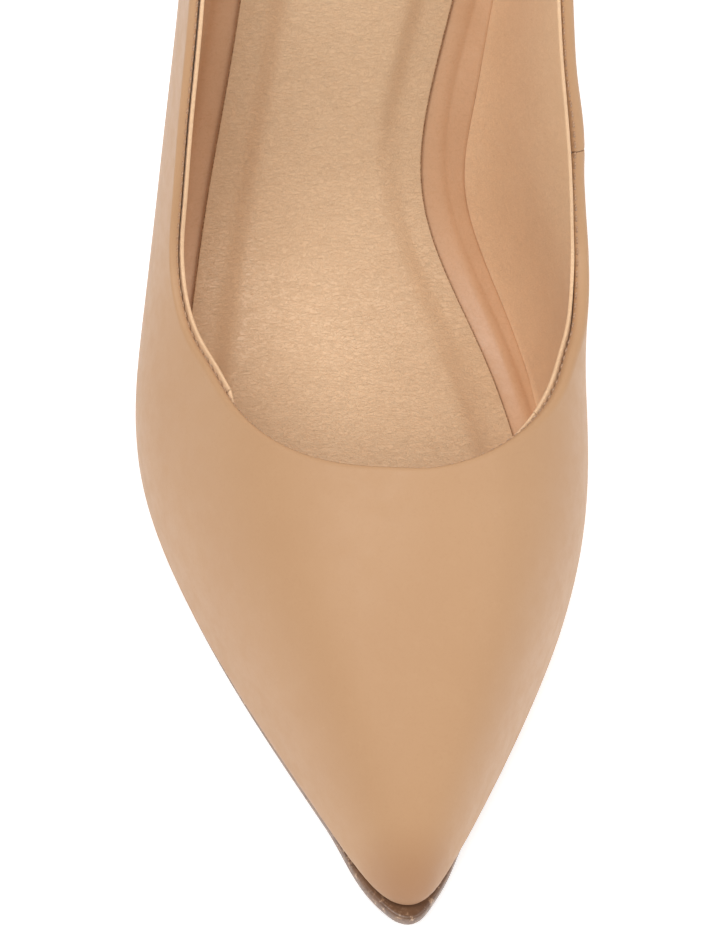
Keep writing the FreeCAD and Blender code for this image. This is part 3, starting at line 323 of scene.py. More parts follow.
def leather(name, colour, shade, light, roughness=0.5, pore=0.5, pore_depth=0.008, mottle=0.4,
            crease=0.0, crease_size=0.8, sheen=0.1, edge_colour_and_shade=None, painted_toe_shade=None):
    """Finished leather: pores, fine creases that run across the foot with painted shade along them, a little
    uneven dye, sheen, painted shade towards the toe tip, and a raw cut edge where the mask edge is 1,
    darkened partly as painted shade."""
    g = Graph(name)
    mottled = g.mix(g.span(g.noise(18, 4, 0.6, 0.6), 0.3, 0.75, 0, mottle), colour, shade)
    clouded = g.mix(g.span(g.noise(2.2, 4, 0.65), 0.5, 0.85, 0, mottle), mottled, light)
    pores = g.cells(pore, g.warped(3.0, 0.8))
    tone = g.mix(g.span(pores, 0.55, 0.9, 0, 0.3), clouded, shade)
    normal = g.bump(g.noise(10, 3, 0.55, 0.8), 0.05)
    normal = g.bump(pores, pore_depth, 1.0, normal)
    rough = g.span(g.noise(3.5, 4, 0.7), 0.3, 0.75, roughness - 0.05, roughness + 0.07)
    if crease:
        across = g.add("ShaderNodeMapping", Vector=g.warped(4.0, 1.2))
        across.inputs["Scale"].default_value = (0.42, 1.0, 1.0)
        wrinkles = g.noise(crease_size, 5, 0.62, 0.9, across.outputs[0])
        fold = g.span(g.math("ABSOLUTE", g.math("SUBTRACT", wrinkles, 0.5), 0.0), 0.0, 0.07)
        normal = g.bump(g.math("ADD", fold, g.noise(0.35, 3, 0.7)), crease, 1.0, normal)
        # painted shade: the colour darkens along the crease lines, where the bump is lowest
        tone = g.mix(g.span(fold, 0.0, 0.6, 0.16, 0.0), tone, shade)
        rough = g.math("SUBTRACT", rough, g.math("MULTIPLY", fold, 0.08))
    if edge_colour_and_shade is not None:
        # the raw cut edge's own darker colour, deepened as painted shade for the thin dark line the edge
        # casts
        cut_edge_and_shade = g.mix(g.span(g.noise(0.25, 3, 0.7), 0.35, 0.7), edge_colour_and_shade, shade)
        tone = g.mix(g.span(g.mask("edge"), 0.35, 0.75), tone, cut_edge_and_shade)
    if painted_toe_shade is not None:
        # painted shade: the leather darkens over its last 11 mm towards the toe tip
        tone = g.mix(g.span(g.along_y(), TOE_TIP, TOE_TIP + 0.011, 0.75, 0.0), tone, painted_toe_shade)
    return g.finish(Base_Color=tone, Roughness=rough, Normal=normal, Sheen_Weight=sheen,
                    Sheen_Roughness=0.4, Specular_IOR_Level=0.3)


def woven(name, colour, dark):
    """Plain weave of warp and weft threads."""
    pitch = 0.5                              # millimetres for two threads
    g = Graph(name)
    parts = g.add("ShaderNodeSeparateXYZ", Vector=g.warped(6.0, 0.3))
    turn = 2 * math.pi / (pitch / 1000)
    waves = [g.math("SINE", g.math("MULTIPLY", parts.outputs[axis], turn), 0.0) for axis in ("Y", "Z")]
    weave = g.math("MULTIPLY", waves[0], waves[1])
    tone = g.mix(g.span(weave, -1, 1), colour, dark)
    tone = g.mix(g.span(g.noise(5, 3), 0.35, 0.7, 0, 0.4), tone, dark)
    return g.finish(Base_Color=tone, Roughness=0.85, Sheen_Weight=0.3, Normal=g.bump(weave, 0.06))


def fibreboard(name, colour, fleck):
    """Pressed board with visible fibres."""
    g = Graph(name)
    fibres = g.noise(0.5, 6, 0.75, 1.5)
    tone = g.mix(g.span(fibres, 0.45, 0.7), colour, fleck)
    tone = g.mix(g.span(g.noise(12, 2), 0.4, 0.7, 0, 0.3), tone, fleck)
    return g.finish(Base_Color=tone, Roughness=g.span(fibres, 0.2, 0.8, 0.8, 0.95),
                    Normal=g.bump(fibres, 0.05))


def moulded(name, colour, light, roughness, texture=0.35, depth=0.01):
    """Injection-moulded plastic or rubber: fine mould texture, scuffs and dull patches."""
    g = Graph(name)
    grain = g.cells(texture)
    scuffs = g.span(g.noise(1.6, 6, 0.8, 2.5), 0.6, 0.72)
    tone = g.mix(g.math("MULTIPLY", scuffs, 0.35), colour, light)
    rough = g.math("ADD", g.span(g.noise(7, 3), 0.3, 0.7, roughness - 0.08, roughness + 0.08),
                   g.math("MULTIPLY", scuffs, 0.12))
    return g.finish(Base_Color=tone, Roughness=rough, Normal=g.bump(grain, depth, 1.0,
                    g.bump(g.noise(0.8, 5, 0.7), 0.008)))


def metal(name, colour, roughness):
    """Rolled steel with fine drawn lines."""
    g = Graph(name)
    stretched = g.add("ShaderNodeMapping", Vector=g.place)
    stretched.inputs["Scale"].default_value = (1.0, 0.06, 1.0)
    lines = g.noise(0.25, 4, 0.7, 0.0, stretched.outputs[0])
    tone = g.mix(g.span(g.noise(5, 4), 0.4, 0.75, 0, 0.5), colour, srgb(120, 112, 104))
    return g.finish(Base_Color=tone, Metallic=1.0, Normal=g.bump(lines, 0.01),
                    Roughness=g.span(lines, 0.3, 0.7, roughness - 0.06, roughness + 0.12))


def thread_material(name, colour, dark):
    """Twisted waxed thread."""
    g = Graph(name)
    strands = g.math("SINE", g.mask("twist"), 0.0)
    tone = g.mix(g.span(strands, -1, 1, 0.0, 0.6), colour, dark)
    tone = g.mix(g.span(g.noise(1.5, 3), 0.4, 0.7, 0, 0.35), tone, dark)
    return g.finish(Base_Color=tone, Roughness=0.6, Sheen_Weight=0.4, Normal=g.bump(strands, 0.03))


def sole_material(name, colour, dark, speck):
    """Painted leather sole: brown, a few glossy specks at the edge, brushed finish and light wear."""
    g = Graph(name)
    streaks = g.add("ShaderNodeMapping", Vector=g.place)
    streaks.inputs["Scale"].default_value = (1.0, 0.12, 0.4)
    brushed = g.noise(0.7, 4, 0.7, 0.0, streaks.outputs[0])
    tone = g.mix(g.span(g.noise(11, 4, 0.6, 0.8), 0.35, 0.7), colour, dark)
    tone = g.mix(g.span(brushed, 0.4, 0.75, 0, 0.4), tone, dark)
    wear = g.math("MULTIPLY", g.span(g.noise(1.3, 5, 0.75), 0.52, 0.68), g.mask("edge"))
    tone = g.mix(wear, tone, speck)
    rough = g.span(g.noise(2.5, 4, 0.7), 0.3, 0.7, 0.34, 0.55)
    return g.finish(Base_Color=tone, Roughness=rough, Coat_Weight=0.25, Coat_Roughness=0.2,
                    Normal=g.bump(brushed, 0.012, 1.0, g.bump(g.noise(0.5, 4, 0.7), 0.01)))


# NUDE's last argument paints shade onto the toe tip.
NUDE = leather("nude_leather", srgb(184, 144, 107), srgb(179, 138, 101), srgb(189, 150, 114), 0.52,
               0.40, 0.004, 0.35, sheen=0.05, painted_toe_shade=srgb(158, 114, 80))
HEEL_NUDE = leather("heel_leather", srgb(187, 145, 108), srgb(182, 139, 102), srgb(192, 151, 115), 0.48,
                    0.40, 0.004, 0.35, sheen=0.05)
LINING = leather("lining_leather", srgb(230, 192, 153), srgb(218, 178, 138), srgb(236, 202, 166), 0.55,
                 0.50, 0.030, 0.4, crease=0.022, crease_size=0.6)
# The sock's edge colour is partly painted shade.
SOCK = leather("sock_leather", srgb(223, 191, 155), srgb(209, 173, 135), srgb(230, 201, 170), 0.38,
               0.45, 0.012, 0.25, crease=0.028, crease_size=0.45, edge_colour_and_shade=srgb(128, 84, 56))
RIM = leather("insole_cover_leather", srgb(210, 168, 132), srgb(194, 150, 112), srgb(218, 180, 146), 0.38,
              0.4, 0.008, 0.4, crease=0.006, crease_size=1.2)
SOLE = sole_material("painted_sole", srgb(128, 94, 68), srgb(92, 62, 42), srgb(196, 160, 128))
THREAD = thread_material("waxed_thread", srgb(184, 144, 108), srgb(146, 106, 74))
BOARD = fibreboard("fibre_board", srgb(150, 128, 104), srgb(92, 74, 58))
STIFFENER = fibreboard("stiffener_board", srgb(205, 196, 180), srgb(150, 138, 120))
CLOTH = woven("backing_cloth", srgb(222, 214, 200), srgb(170, 158, 140))
PLASTIC = moulded("heel_plastic", srgb(46, 44, 44), srgb(96, 92, 90), 0.42)
RUBBER = moulded("top_lift_rubber", srgb(58, 44, 36), srgb(120, 98, 84), 0.5, 0.5, 0.02)
STEEL = metal("steel", srgb(178, 176, 172), 0.32)


# ------------------------------------------------------------------ walls: upper and linings

FAN = 90                                     # rays per column
FAN_DEPTH = 0.27                             # how far inside the wall a fan starts, as a share of its height
RAY_REACH, RAY_START = 0.09, 0.07            # rays going outwards, and rays coming in from outside
PROBE = 0.0015                               # from how far in front of a wall its face is looked up
RELAX_ROUNDS, RELAX_PASSES, RELAX_SHARE = 5, 6, 0.2
FOOT_AXIS = (-0.165, -0.012)                 # ends of the foot space's long axis


def wall_grid(tops, lows, rows, target, inside):
    """Grid of points (column, row) down a wall, from its topline to its lower edge: each column is cut
    by a fan of rays from a point inside the shoe."""
    along = unit(unit(np.gradient(tops, axis=0)) + unit(np.gradient(lows, axis=0)))
    chord = tops - lows
    outward = unit(np.cross(chord, along))
    centre_line = np.mean(np.vstack((tops, lows)), axis=0)
    middle = (tops + lows) / 2
    # the foot space lies towards the long axis of the shoe
    axis_y = np.clip(middle[:, 1], *FOOT_AXIS)
    towards_axis = np.stack((centre_line[0] * 0.2 - middle[:, 0], axis_y - middle[:, 1],
                             -0.3 * np.abs(chord[:, 2])), 1)
    outward *= np.where(np.einsum("ij,ij->i", outward, towards_axis) > 0, -1.0, 1.0)[:, None]
    size = np.linalg.norm(chord, axis=1)
    centres = middle - outward * size[:, None] * FAN_DEPTH
    columns = []
    for top, low, centre, out, direction in zip(tops, lows, centres, outward, unit(chord)):
        turns = [math.atan2((p - centre) @ out, (p - centre) @ direction) for p in (top, low)]
        hits = [top]
        for turn in np.linspace(*turns, FAN)[1:-1]:
            ray = math.cos(turn) * direction + math.sin(turn) * out
            if inside:
                found = target.ray_cast(Vector(centre), Vector(ray), RAY_REACH)
            else:
                found = target.ray_cast(Vector(centre + ray * RAY_START), Vector(-ray), RAY_START)
            if found[0] is not None:
                hits.append(np.array(found[0]))
        hits.append(low)
        columns.append(resampled(np.array(hits), np.linspace(0, 1, rows)))
    grid = blurred(blurred(np.array(columns), 6, 1), 8, 0)
    side = np.sign(np.einsum("crk,ck->", outward_normals(grid), outward)) * (-1 if inside else 1)
    for _ in range(RELAX_ROUNDS):            # spread the points evenly over the face
        for _ in range(RELAX_PASSES):
            around = grid[:-2, 1:-1] + grid[2:, 1:-1] + grid[1:-1, :-2] + grid[1:-1, 2:]
            grid[1:-1, 1:-1] += RELAX_SHARE * (around - 4 * grid[1:-1, 1:-1])
        probes = grid + outward_normals(grid) * side * PROBE
        for column, starts in zip(grid[1:-1, 1:-1], probes[1:-1, 1:-1]):
            for point, start in zip(column, starts):
                point[:] = target.find_nearest(Vector(start))[0]
    return blurred(blurred(grid, 2, 1), 3, 0)


def outward_normals(grid):
    return unit(np.cross(np.gradient(grid, axis=0), np.gradient(grid, axis=1)))


vamp_edges = creases("vamp")
quarter_edges = creases("medial_quarter")
heel_lining_edges = creases("heel_lining")
vamp_lining_edges = creases("vamp_lining")


def paired(top, low, count, bias, crowd_start=1.0, crowd_end=1.0):
    """Matching points of a topline and a lower edge; bias shifts the topline's share along it, and the
    points crowd towards an end whose power is above 1."""
    shares = 1 - (1 - np.linspace(0, 1, count) ** crowd_start) ** crowd_end
    return resampled(top, shares + bias * np.sin(math.pi * shares)), resampled(low, shares)


def split_at_front(chain):
    """The chain's two parts, up to its foremost point and from it."""
    index = int(np.argmin(chain[:, 1]))
    return chain[:index + 1], chain[index:]


FRONT_COLUMNS, REAR_COLUMNS, QUARTER_COLUMNS, ROWS = 120, 190, 78, 44
# places near which chains start
SEAM_TOP, SEAM_LOW, TOE_LOW = (0.0337, -0.087, 0.0598), (0.0074, -0.0676, 0.0242), (0.002, -0.197, 0.006)
JOIN_TOP, JOIN_LOW = (0.024, -0.130, 0.047), (0.018, -0.153, 0.0045)

# outer topline and lower edge: a ring from the back, along the inner side, round the toe and back
vamp_top = towards(vamp_edges[0], SEAM_TOP)
quarter_top = towards(quarter_edges[0], SEAM_TOP)
vamp_low_rear = towards(vamp_edges[2], TOE_LOW)
vamp_low_front = towards(vamp_edges[4], SEAM_LOW)
quarter_low = towards(min(quarter_edges[2:4], key=lambda c: min(c[0][2], c[-1][2])), SEAM_LOW)
top_front, top_rear = split_at_front(vamp_top)
front_top, front_low = paired(top_front, vamp_low_front, FRONT_COLUMNS, 0.10, 1.0, 1.5)
rear_top, rear_low = paired(top_rear, vamp_low_rear, REAR_COLUMNS, -0.075, 1.5, 1.0)
side_top, side_low = paired(quarter_top, quarter_low, QUARTER_COLUMNS, 0.0)
ring_top = blurred(np.vstack((side_top[::-1][:-1], front_top, rear_top[1:])), 12, 0)
ring_low = blurred(np.vstack((side_low[::-1][:-1], front_low, rear_low[1:])), 12, 0)
SEAM = QUARTER_COLUMNS - 1                   # column of the side seam in the ring
outer = wall_grid(ring_top, ring_low, ROWS, tree("vamp", "medial_quarter"), inside=False)

# lining topline and lower edge, in the same order
heel_top = towards(heel_lining_edges[3], JOIN_TOP)
heel_low = towards(heel_lining_edges[1], JOIN_LOW)
fore_top = towards(vamp_lining_edges[3], JOIN_TOP)
fore_low = joined(towards(vamp_lining_edges[9], JOIN_LOW), vamp_lining_edges[1])


def split_at_back(chain):
    """The chain's two parts: from the heel's back to its start, and from its end to the back."""
    back = int(np.argmax(chain[:, 1]))
    return chain[:back + 1][::-1], chain[back:][::-1]


inner_side, outer_side = split_at_back(heel_top)
inner_low, outer_low = split_at_back(heel_low)
IN_COLUMNS, FORE_COLUMNS, OUT_COLUMNS = 120, 56, 120
in_top, in_low = paired(inner_side, inner_low, IN_COLUMNS, -0.03)
f_top, f_low = paired(fore_top, fore_low, FORE_COLUMNS, 0.0)
out_top, out_low = paired(outer_side, outer_low, OUT_COLUMNS, 0.0)
lining_top = blurred(np.vstack((in_top[:-1], f_top, out_top[1:])), 12, 0)
lining_low = blurred(np.vstack((in_low[:-1], f_low, out_low[1:])), 12, 0)
JOIN_IN, JOIN_OUT = IN_COLUMNS - 1, IN_COLUMNS + FORE_COLUMNS - 2
inner = wall_grid(lining_top, lining_low, ROWS, tree("heel_lining", "vamp_lining"), inside=True)


for wall in (outer, inner):                   # both ends of a wall meet at the back of the heel
    wall[0] = wall[-1] = (wall[0] + wall[-1]) / 2


# ------------------------------------------------------------------ upper and lining pieces

FOLD, BEAD = 0.00082, 0.00034                # radii of the upper's and the lining's turned edges
UPPER_LEATHER, LINING_LEATHER = 0.0010, 0.0007
FOLD_RISE, BEAD_RISE, THROAT_DROP = 0.0001, 0.00055, 0.0007


EDGE_POINTS, EDGE_ROWS = 7, 4                # points round a turned edge; rows until full thickness


def wall_sections(grid, normals, thickness, radius, rise):
    """Closed section per column: visible face, rounded topline, hidden face. Normals point out of the
    visible face."""
    down = unit(grid[:, 1] - grid[:, 0])
    radius, rise = np.reshape(radius, (-1, 1)), np.reshape(rise, (-1, 1))
    centre = grid[:, 0] - normals[:, 0] * radius + down * (radius - rise)
    rows = [grid[:, r] for r in range(grid.shape[1] - 1, 0, -1)]
    for turn in np.linspace(0, math.pi, EDGE_POINTS):
        rows.append(centre + (normals[:, 0] * math.cos(turn) - down * math.sin(turn)) * radius)
    for r in range(2, grid.shape[1]):
        share = min(1.0, r / EDGE_ROWS)
        rows.append(grid[:, r] - normals[:, r] * (2 * radius * (1 - share) + thickness * share))
    return np.stack(rows, axis=1)


def wall_piece(name, sections, material, slot, nodes, tucked):
    """A strip of wall. A tucked end turns inwards, so that two strips meet in a seam."""
    start, end = [], []
    for tuck, column, store in ((tucked[0], 0, start), (tucked[1], -1, end)):
        if tuck:
            edge = sections[column]
            middle = (edge + edge[::-1]) / 2
            along = unit(edge - sections[1 if column == 0 else -2])
            for share, reach in ((0.25, 0.7), (0.65, 1.0)):
                store.append(edge + (middle - edge) * share + along * tuck * reach)
    rows = np.array([*reversed(start), *sections, *end])
    return piece(name, rows, capped(*rows.shape[:2]), material, slot, *nodes)


def side_bulge(grid, normals, columns, height, reach):
    """Raise the strip beside a seam by height, over reach columns."""
    raised = grid.copy()
    count = len(grid)
    for column in columns:
        distance = np.abs(np.arange(count) - column)
        lift = height * np.exp(-(distance / reach) ** 2)
        raised += normals * lift[:, None, None]
    return raised


outer_normals = outward_normals(outer)
if outer_normals[SEAM, 10, 0] < 0:
    outer_normals = -outer_normals
outer_normals = unit(blurred(outer_normals, 8, 0))
SEAM_LIFT, SEAM_REACH = 0.00025, 2.5         # rise of the leather beside a seam; over how many columns
outer = side_bulge(outer, outer_normals, (SEAM, 0, len(outer) - 1), SEAM_LIFT, SEAM_REACH)
FULLNESS, KNOB, FOLD_GROWTH = 0.0012, 0.0004, 0.00070
beyond = np.arange(len(outer)) - SEAM        # the turned edge is fullest beside the seam
fullness = np.where(beyond < 0, np.exp(-(beyond / 30) ** 2), np.exp(-(beyond / 45) ** 2))
knob = np.exp(-((beyond + 3) / 3) ** 2)
fade = np.exp(-(np.arange(ROWS) / 7) ** 2)
outer = outer + outer_normals * ((FULLNESS * fullness + KNOB * knob)[:, None] * fade)[:, :, None]
fold = FOLD + FOLD_GROWTH * fullness
outer_sections = wall_sections(outer, outer_normals, UPPER_LEATHER, fold, FOLD_RISE)
SEAM_TUCK = -0.00009                         # how far a seam's ends stand back from each other
wall_piece("upper_quarter", outer_sections[:SEAM + 1], NUDE, "upper_leather", ["medial_quarter"],
           (SEAM_TUCK, SEAM_TUCK))
wall_piece("upper_vamp", outer_sections[SEAM:], NUDE, "upper_leather", ["vamp"], (SEAM_TUCK, SEAM_TUCK))

inner_normals = outward_normals(inner)
if inner_normals[JOIN_IN, 10, 0] > 0:
    inner_normals = -inner_normals
inner_normals = unit(blurred(inner_normals, 8, 0))
column = np.arange(len(inner))
sunk = step(column, JOIN_IN - 4, JOIN_IN + 12) * (1 - step(column, JOIN_OUT - 2, JOIN_OUT))
rise = BEAD_RISE * (1 - sunk) - THROAT_DROP * sunk
inner_sections = wall_sections(inner, inner_normals, LINING_LEATHER, BEAD, rise)
fore = inner_sections[JOIN_IN:JOIN_OUT + 1]
wall_piece("lining_forepart", fore, LINING, "lining_leather", ["vamp_lining"], (SEAM_TUCK, SEAM_TUCK))
wall_piece("lining_quarter_inner", inner_sections[:JOIN_IN + 1], LINING, "lining_leather",
           ["heel_lining"], (SEAM_TUCK, SEAM_TUCK))
wall_piece("lining_quarter_outer", inner_sections[JOIN_OUT:], LINING, "lining_leather",
           ["heel_lining"], (SEAM_TUCK, SEAM_TUCK))


# ------------------------------------------------------------------ plates: insole rim, sock, outsole

def halves(loop, count):
    """A closed outline as count points down its inner side, from heel to toe, and as many up the other."""
    if np.linalg.norm(loop[0] - loop[-1]) < 1e-5:
        loop = loop[:-1]
    back = int(np.argmax(loop[:, 1] - 0.6 * np.abs(loop[:, 0])))
    loop = np.roll(loop, -back, axis=0)
    loop = np.vstack((loop, loop[:1]))
    tip = int(np.argmin(loop[:, 1]))
    sides = [loop[:tip + 1], loop[tip:][::-1]]
    if sides[0][len(sides[0]) // 2][0] < sides[1][len(sides[1]) // 2][0]:
        sides.reverse()
    return [resampled(side, np.linspace(0, 1, count)) for side in sides]


class Plate:
    """Loops over a plate's top and bottom faces, from its outline to its long axis."""

    def __init__(self, loop, front_gap, back_gap, count=170):
        inner_edge, outer_edge = halves(loop, count)
        middles = (inner_edge + outer_edge) / 2
        order = np.argsort(middles[:, 1])
        y = np.clip(middles[:, 1], loop[:, 1].min() + front_gap, loop[:, 1].max() - back_gap)
        x = np.interp(y, middles[order, 1], middles[order, 0])
        axis = np.column_stack((x, y))
        self.outline = np.vstack((inner_edge, outer_edge[-2:0:-1]))
        self.axis = np.vstack((axis, axis[-2:0:-1]))
        plan = self.outline[:, :2]
        tangent = unit(np.roll(plan, -1, 0) - np.roll(plan, 1, 0))
        inward = np.column_stack((-tangent[:, 1], tangent[:, 0]))
        inward *= np.where(np.einsum("ij,ij->i", inward, self.axis - plan) < 0, -1, 1)[:, None]
        self.inward = unit(blurred(inward, 6, 0, closed=True))

    def plan(self, inset):
        """Outline moved inwards: square to the edge near it, towards the axis further in."""
        edge = self.outline[:, :2]
        to_axis = self.axis - edge
        reach = np.maximum(np.linalg.norm(to_axis, axis=1), 1e-6)
        radial = edge + to_axis * np.clip(inset / reach, 0, 1)[:, None]
        share = step(inset, 0.002, 0.012)
        return (edge + self.inward * inset) * (1 - share) + radial * share

    def loop(self, inset, target, lift=0.0, from_above=True):
        return self.raised(self.plan(inset), target, lift, from_above)

    def raised(self, plan, target, lift, from_above=True):
        side = 1 if from_above else -1
        heights = np.full(len(plan), np.nan)
        for i, (x, y) in enumerate(plan):
            hit = target.ray_cast(Vector((x, y, 0.25 * side)), Vector((0, 0, -side)), 0.6)[0]
            if hit is not None:
                heights[i] = hit.z
        known = ~np.isnan(heights)
        index = np.arange(len(plan))
        heights = np.interp(index, index[known], heights[known])
        return np.column_stack((plan, heights + lift))

    def edge(self, drop, inset=0.0):
        """The outline itself, lowered by drop."""
        return np.column_stack((self.plan(inset), self.outline[:, 2] - drop))

    def core(self, inset, target, lift=0.0, from_above=True):
        """Loops from an inset in to the axis, where the two sides meet."""
        start = self.plan(inset)
        return [self.raised(start + (self.axis - start) * share, target, lift, from_above)
                for share in (0.12, 0.28, 0.46, 0.64, 0.82, 1.0)]


def plate_piece(name, loops, material, slot, nodes, edge_mask):
    """A closed plate from loops that run from its top's axis round its edge to its underside's axis."""
    grid = np.array(loops)
    grid = blurred(grid, 3, 1, closed=True)
    rows, columns = grid.shape[:2]
    piece(name, grid, grid_faces(rows, columns, closed_columns=True), material, slot, *nodes,
          masks={"edge": np.repeat(np.asarray(edge_mask, float)[:, None], columns, 1)})


cover_edges = creases("insole_cover")
cover_loop = max(cover_edges[:4], key=lambda c: c[:, 2].max() + c[:, 2].min() + 5e-6 * len(c))
cover_top = tree("insole_cover")
rim = Plate(cover_loop, 0.012, 0.020)
RIDGE = ((4.9, 0.0), (4.2, 0.10), (3.4, 0.34), (2.6, 0.58), (1.8, 0.60), (1.1, 0.34), (0.6, 0.0),
         (0.3, -0.18))                        # millimetres: inset, height above the cover's face
lining_wall = tree("heel_lining", "vamp_lining")
LOOK_BACK, WIDEST_GAP = 0.002, 0.0040        # start of the rays to the lining; most of a gap that is closed
gap = np.full(len(rim.outline), 0.0)         # from the rim's outline to the lining
for i, (point, inwards) in enumerate(zip(rim.outline, rim.inward)):
    start = Vector((point[0], point[1], point[2] + 0.0002)) + Vector((*inwards, 0)) * LOOK_BACK
    hit = lining_wall.ray_cast(start, Vector((*-inwards, 0)), 0.008)
    gap[i] = hit[3] - LOOK_BACK if hit[0] is not None else 0.0
gap = np.clip(gap, 0.0, WIDEST_GAP)[:, None]
for _ in range(6):
    gap = (np.roll(gap, 1) + gap + np.roll(gap, -1)) / 3
RIM_CORE = 0.0075                            # inset from which the plate runs straight to its axis
RIM_THICKNESS = 0.0006
loops = list(reversed(rim.core(RIM_CORE, cover_top)))
loops.append(rim.loop(RIM_CORE, cover_top))
for inset, height in RIDGE:
    loops.append(rim.loop(inset / 1000, cover_top, height / 1000))
for drop, share in ((0.00024, 0.5), (0.00026, 1.0), (0.0009, 0.9)):
    ring = rim.edge(drop, 0.00005)
    ring[:, :2] -= rim.inward * (gap - 0.00004) * share
    loops.append(ring)
loops.append(rim.edge(0.0021, 0.00012))
loops.append(rim.edge(0.0023, 0.0004))
for inset in (0.0008, 0.003, RIM_CORE):
    loops.append(rim.loop(inset, cover_top, -RIM_THICKNESS))
loops.extend(rim.core(RIM_CORE, cover_top, -RIM_THICKNESS))
plate_piece("insole_rim", loops, RIM, "insole_cover_leather", ["insole_cover"], [0] * len(loops))

sock_edges = creases("sock_lining")
sock_loop = joined(sock_edges[1], max(sock_edges[2:4], key=lambda chain: chain[0][2]))
sock_top = tree("sock_lining")
sock = Plate(sock_loop, 0.012, 0.018)
SOCK_CORE, GLUE = 0.013, 0.00005             # inset of the core; gap between the pad and the insole cover
loops = list(reversed(sock.core(SOCK_CORE, sock_top)))
# millimetres: inset, height above the sock's face; the leather is pared thin towards its cut edge
SKIVED = ((13.0, 0), (11.0, 0), (9.5, 0), (8.5, 0), (7.6, 0), (6.8, 0), (6.0, 0), (5.2, 0), (4.4, 0),
          (3.4, -0.02), (2.4, -0.10), (1.4, -0.22), (0.7, -0.33), (0.35, -0.38))
for inset, height in SKIVED:
    loops.append(sock.loop(inset / 1000, sock_top, height / 1000))
first = len(loops) - len(SKIVED)
GROOVE_ROWS, GROOVE_FILL = 9, 0.75           # the foam's shoulder shows less on the inner side
flat = np.linspace(0, 1, GROOVE_ROWS + 1)[:, None]
inner_half = len(sock.outline) // 2
share = GROOVE_FILL * np.r_[np.ones(inner_half), np.zeros(len(sock.outline) - inner_half)]
share = blurred(share[:, None], 10, 0, closed=True)[:, 0]
for k in range(1, GROOVE_ROWS):
    level = loops[first][:, 2] * (1 - flat[k]) + loops[first + GROOVE_ROWS][:, 2] * flat[k]
    loops[first + k][:, 2] += (level - loops[first + k][:, 2]).clip(0, 0.002) * share
mask = [0.0] * len(loops)
for drop, inset in ((0.00046, 0.00008), (0.00055, 0.0), (0.00070, 0.0), (0.00085, 0.00004)):
    loops.append(sock.edge(drop, inset))
    mask.append(1.0)
for inset in (0.0006, 0.004, 0.010):
    loops.append(sock.loop(inset, cover_top, GLUE))
loops.extend(sock.core(SOCK_CORE, cover_top, GLUE))
mask += [0.0] * (len(loops) - len(mask))
plate_piece("sock_pad", loops, SOCK, "sock_leather", ["sock_lining", "sock_foam"], mask)

sole_edges = creases("outsole")
top_chain = max(sole_edges[:2], key=lambda chain: chain[:, 2].max())
back_top = max(sole_edges[2:4], key=lambda chain: chain[0][2])
back_top = towards(back_top, top_chain[-1])
straight = np.linspace(back_top[0], back_top[-1], 24)
sole_loop = np.vstack((top_chain, straight[1:-1]))
sole_tree = tree("outsole")
sole = Plate(sole_loop, 0.010, 0.016, 200)
SOLE_CORE, SWELL = 0.010, 0.0011             # inset of the core; how far the edge stands out at the toe tip
loops = list(reversed(sole.core(SOLE_CORE, sole_tree)))
swell = SWELL * step(-sole.outline[:, 1], 0.184, 0.197)[:, None] * sole.inward
for inset in (10.0, 6.0, 2.0, 0.9, 0.5):
    loops.append(sole.loop(inset / 1000, sole_tree))
for ring in loops[-2:]:
    ring[:, :2] -= swell
mask = [0.0] * (len(loops) - 2) + [0.4, 0.8]
low_heights = sole.loop(0.0003, sole_tree, 0.0, False)[:, 2]
thick = np.maximum(sole.outline[:, 2] - low_heights, 0.002)
for share, inset in ((0.05, 0.00018), (0.18, 0.0), (0.5, -0.00006), (0.80, 0.0), (0.95, 0.00018)):
    plan = sole.plan(inset) - swell
    loops.append(np.column_stack((plan, sole.outline[:, 2] - thick * share)))
    mask.append(1.0)
for inset in (0.0006, 0.0012, 0.003, 0.007, 0.010):
    loops.append(sole.loop(inset, sole_tree, 0.0, False))
    loops[-1][:, :2] -= swell * (inset < 0.002)
    mask.append(0.6 if inset < 0.001 else 0.0)
loops.extend(sole.core(SOLE_CORE, sole_tree, 0.0, False))
mask += [0.0] * (len(loops) - len(mask))
plate_piece("leather_outsole", loops, SOLE, "outsole", ["outsole"], mask)


# ------------------------------------------------------------------ heel

heel_edges = creases("heel_cover")
heel_tree = tree("heel_cover")
CORNER_LENGTH, FOOT_LENGTH = (0.070, 0.080), (0.026, 0.032)
corner_chains = sorted((c for c in heel_edges if CORNER_LENGTH[0] < length_of(c) < CORNER_LENGTH[1]),
                       key=lambda c: -np.abs(c[:, 0]).max())[:4]
corner_chains.sort(key=lambda c: c[np.argmax(c[:, 2])][0])
left_corner = min(corner_chains[:2], key=lambda c: c[:, 1].min())
right_corner = min(corner_chains[2:], key=lambda c: c[:, 1].min())
seat_chain = heel_edges[0]
foot_chains = [c for c in heel_edges if FOOT_LENGTH[0] < length_of(c) < FOOT_LENGTH[1] and len(c) > 10]
foot_chain = foot_chains[0]
HEEL_ROWS, BACK_POINTS, BREAST_POINTS = 56, 64, 18
HEEL_LEATHER, SEAM_GROOVE, TOP_RISE = 0.00045, 0.00012, 0.0008


def rising(chain):
    """The chain from its lower end to its upper end."""
    return chain if chain[0][2] < chain[-1][2] else chain[::-1]


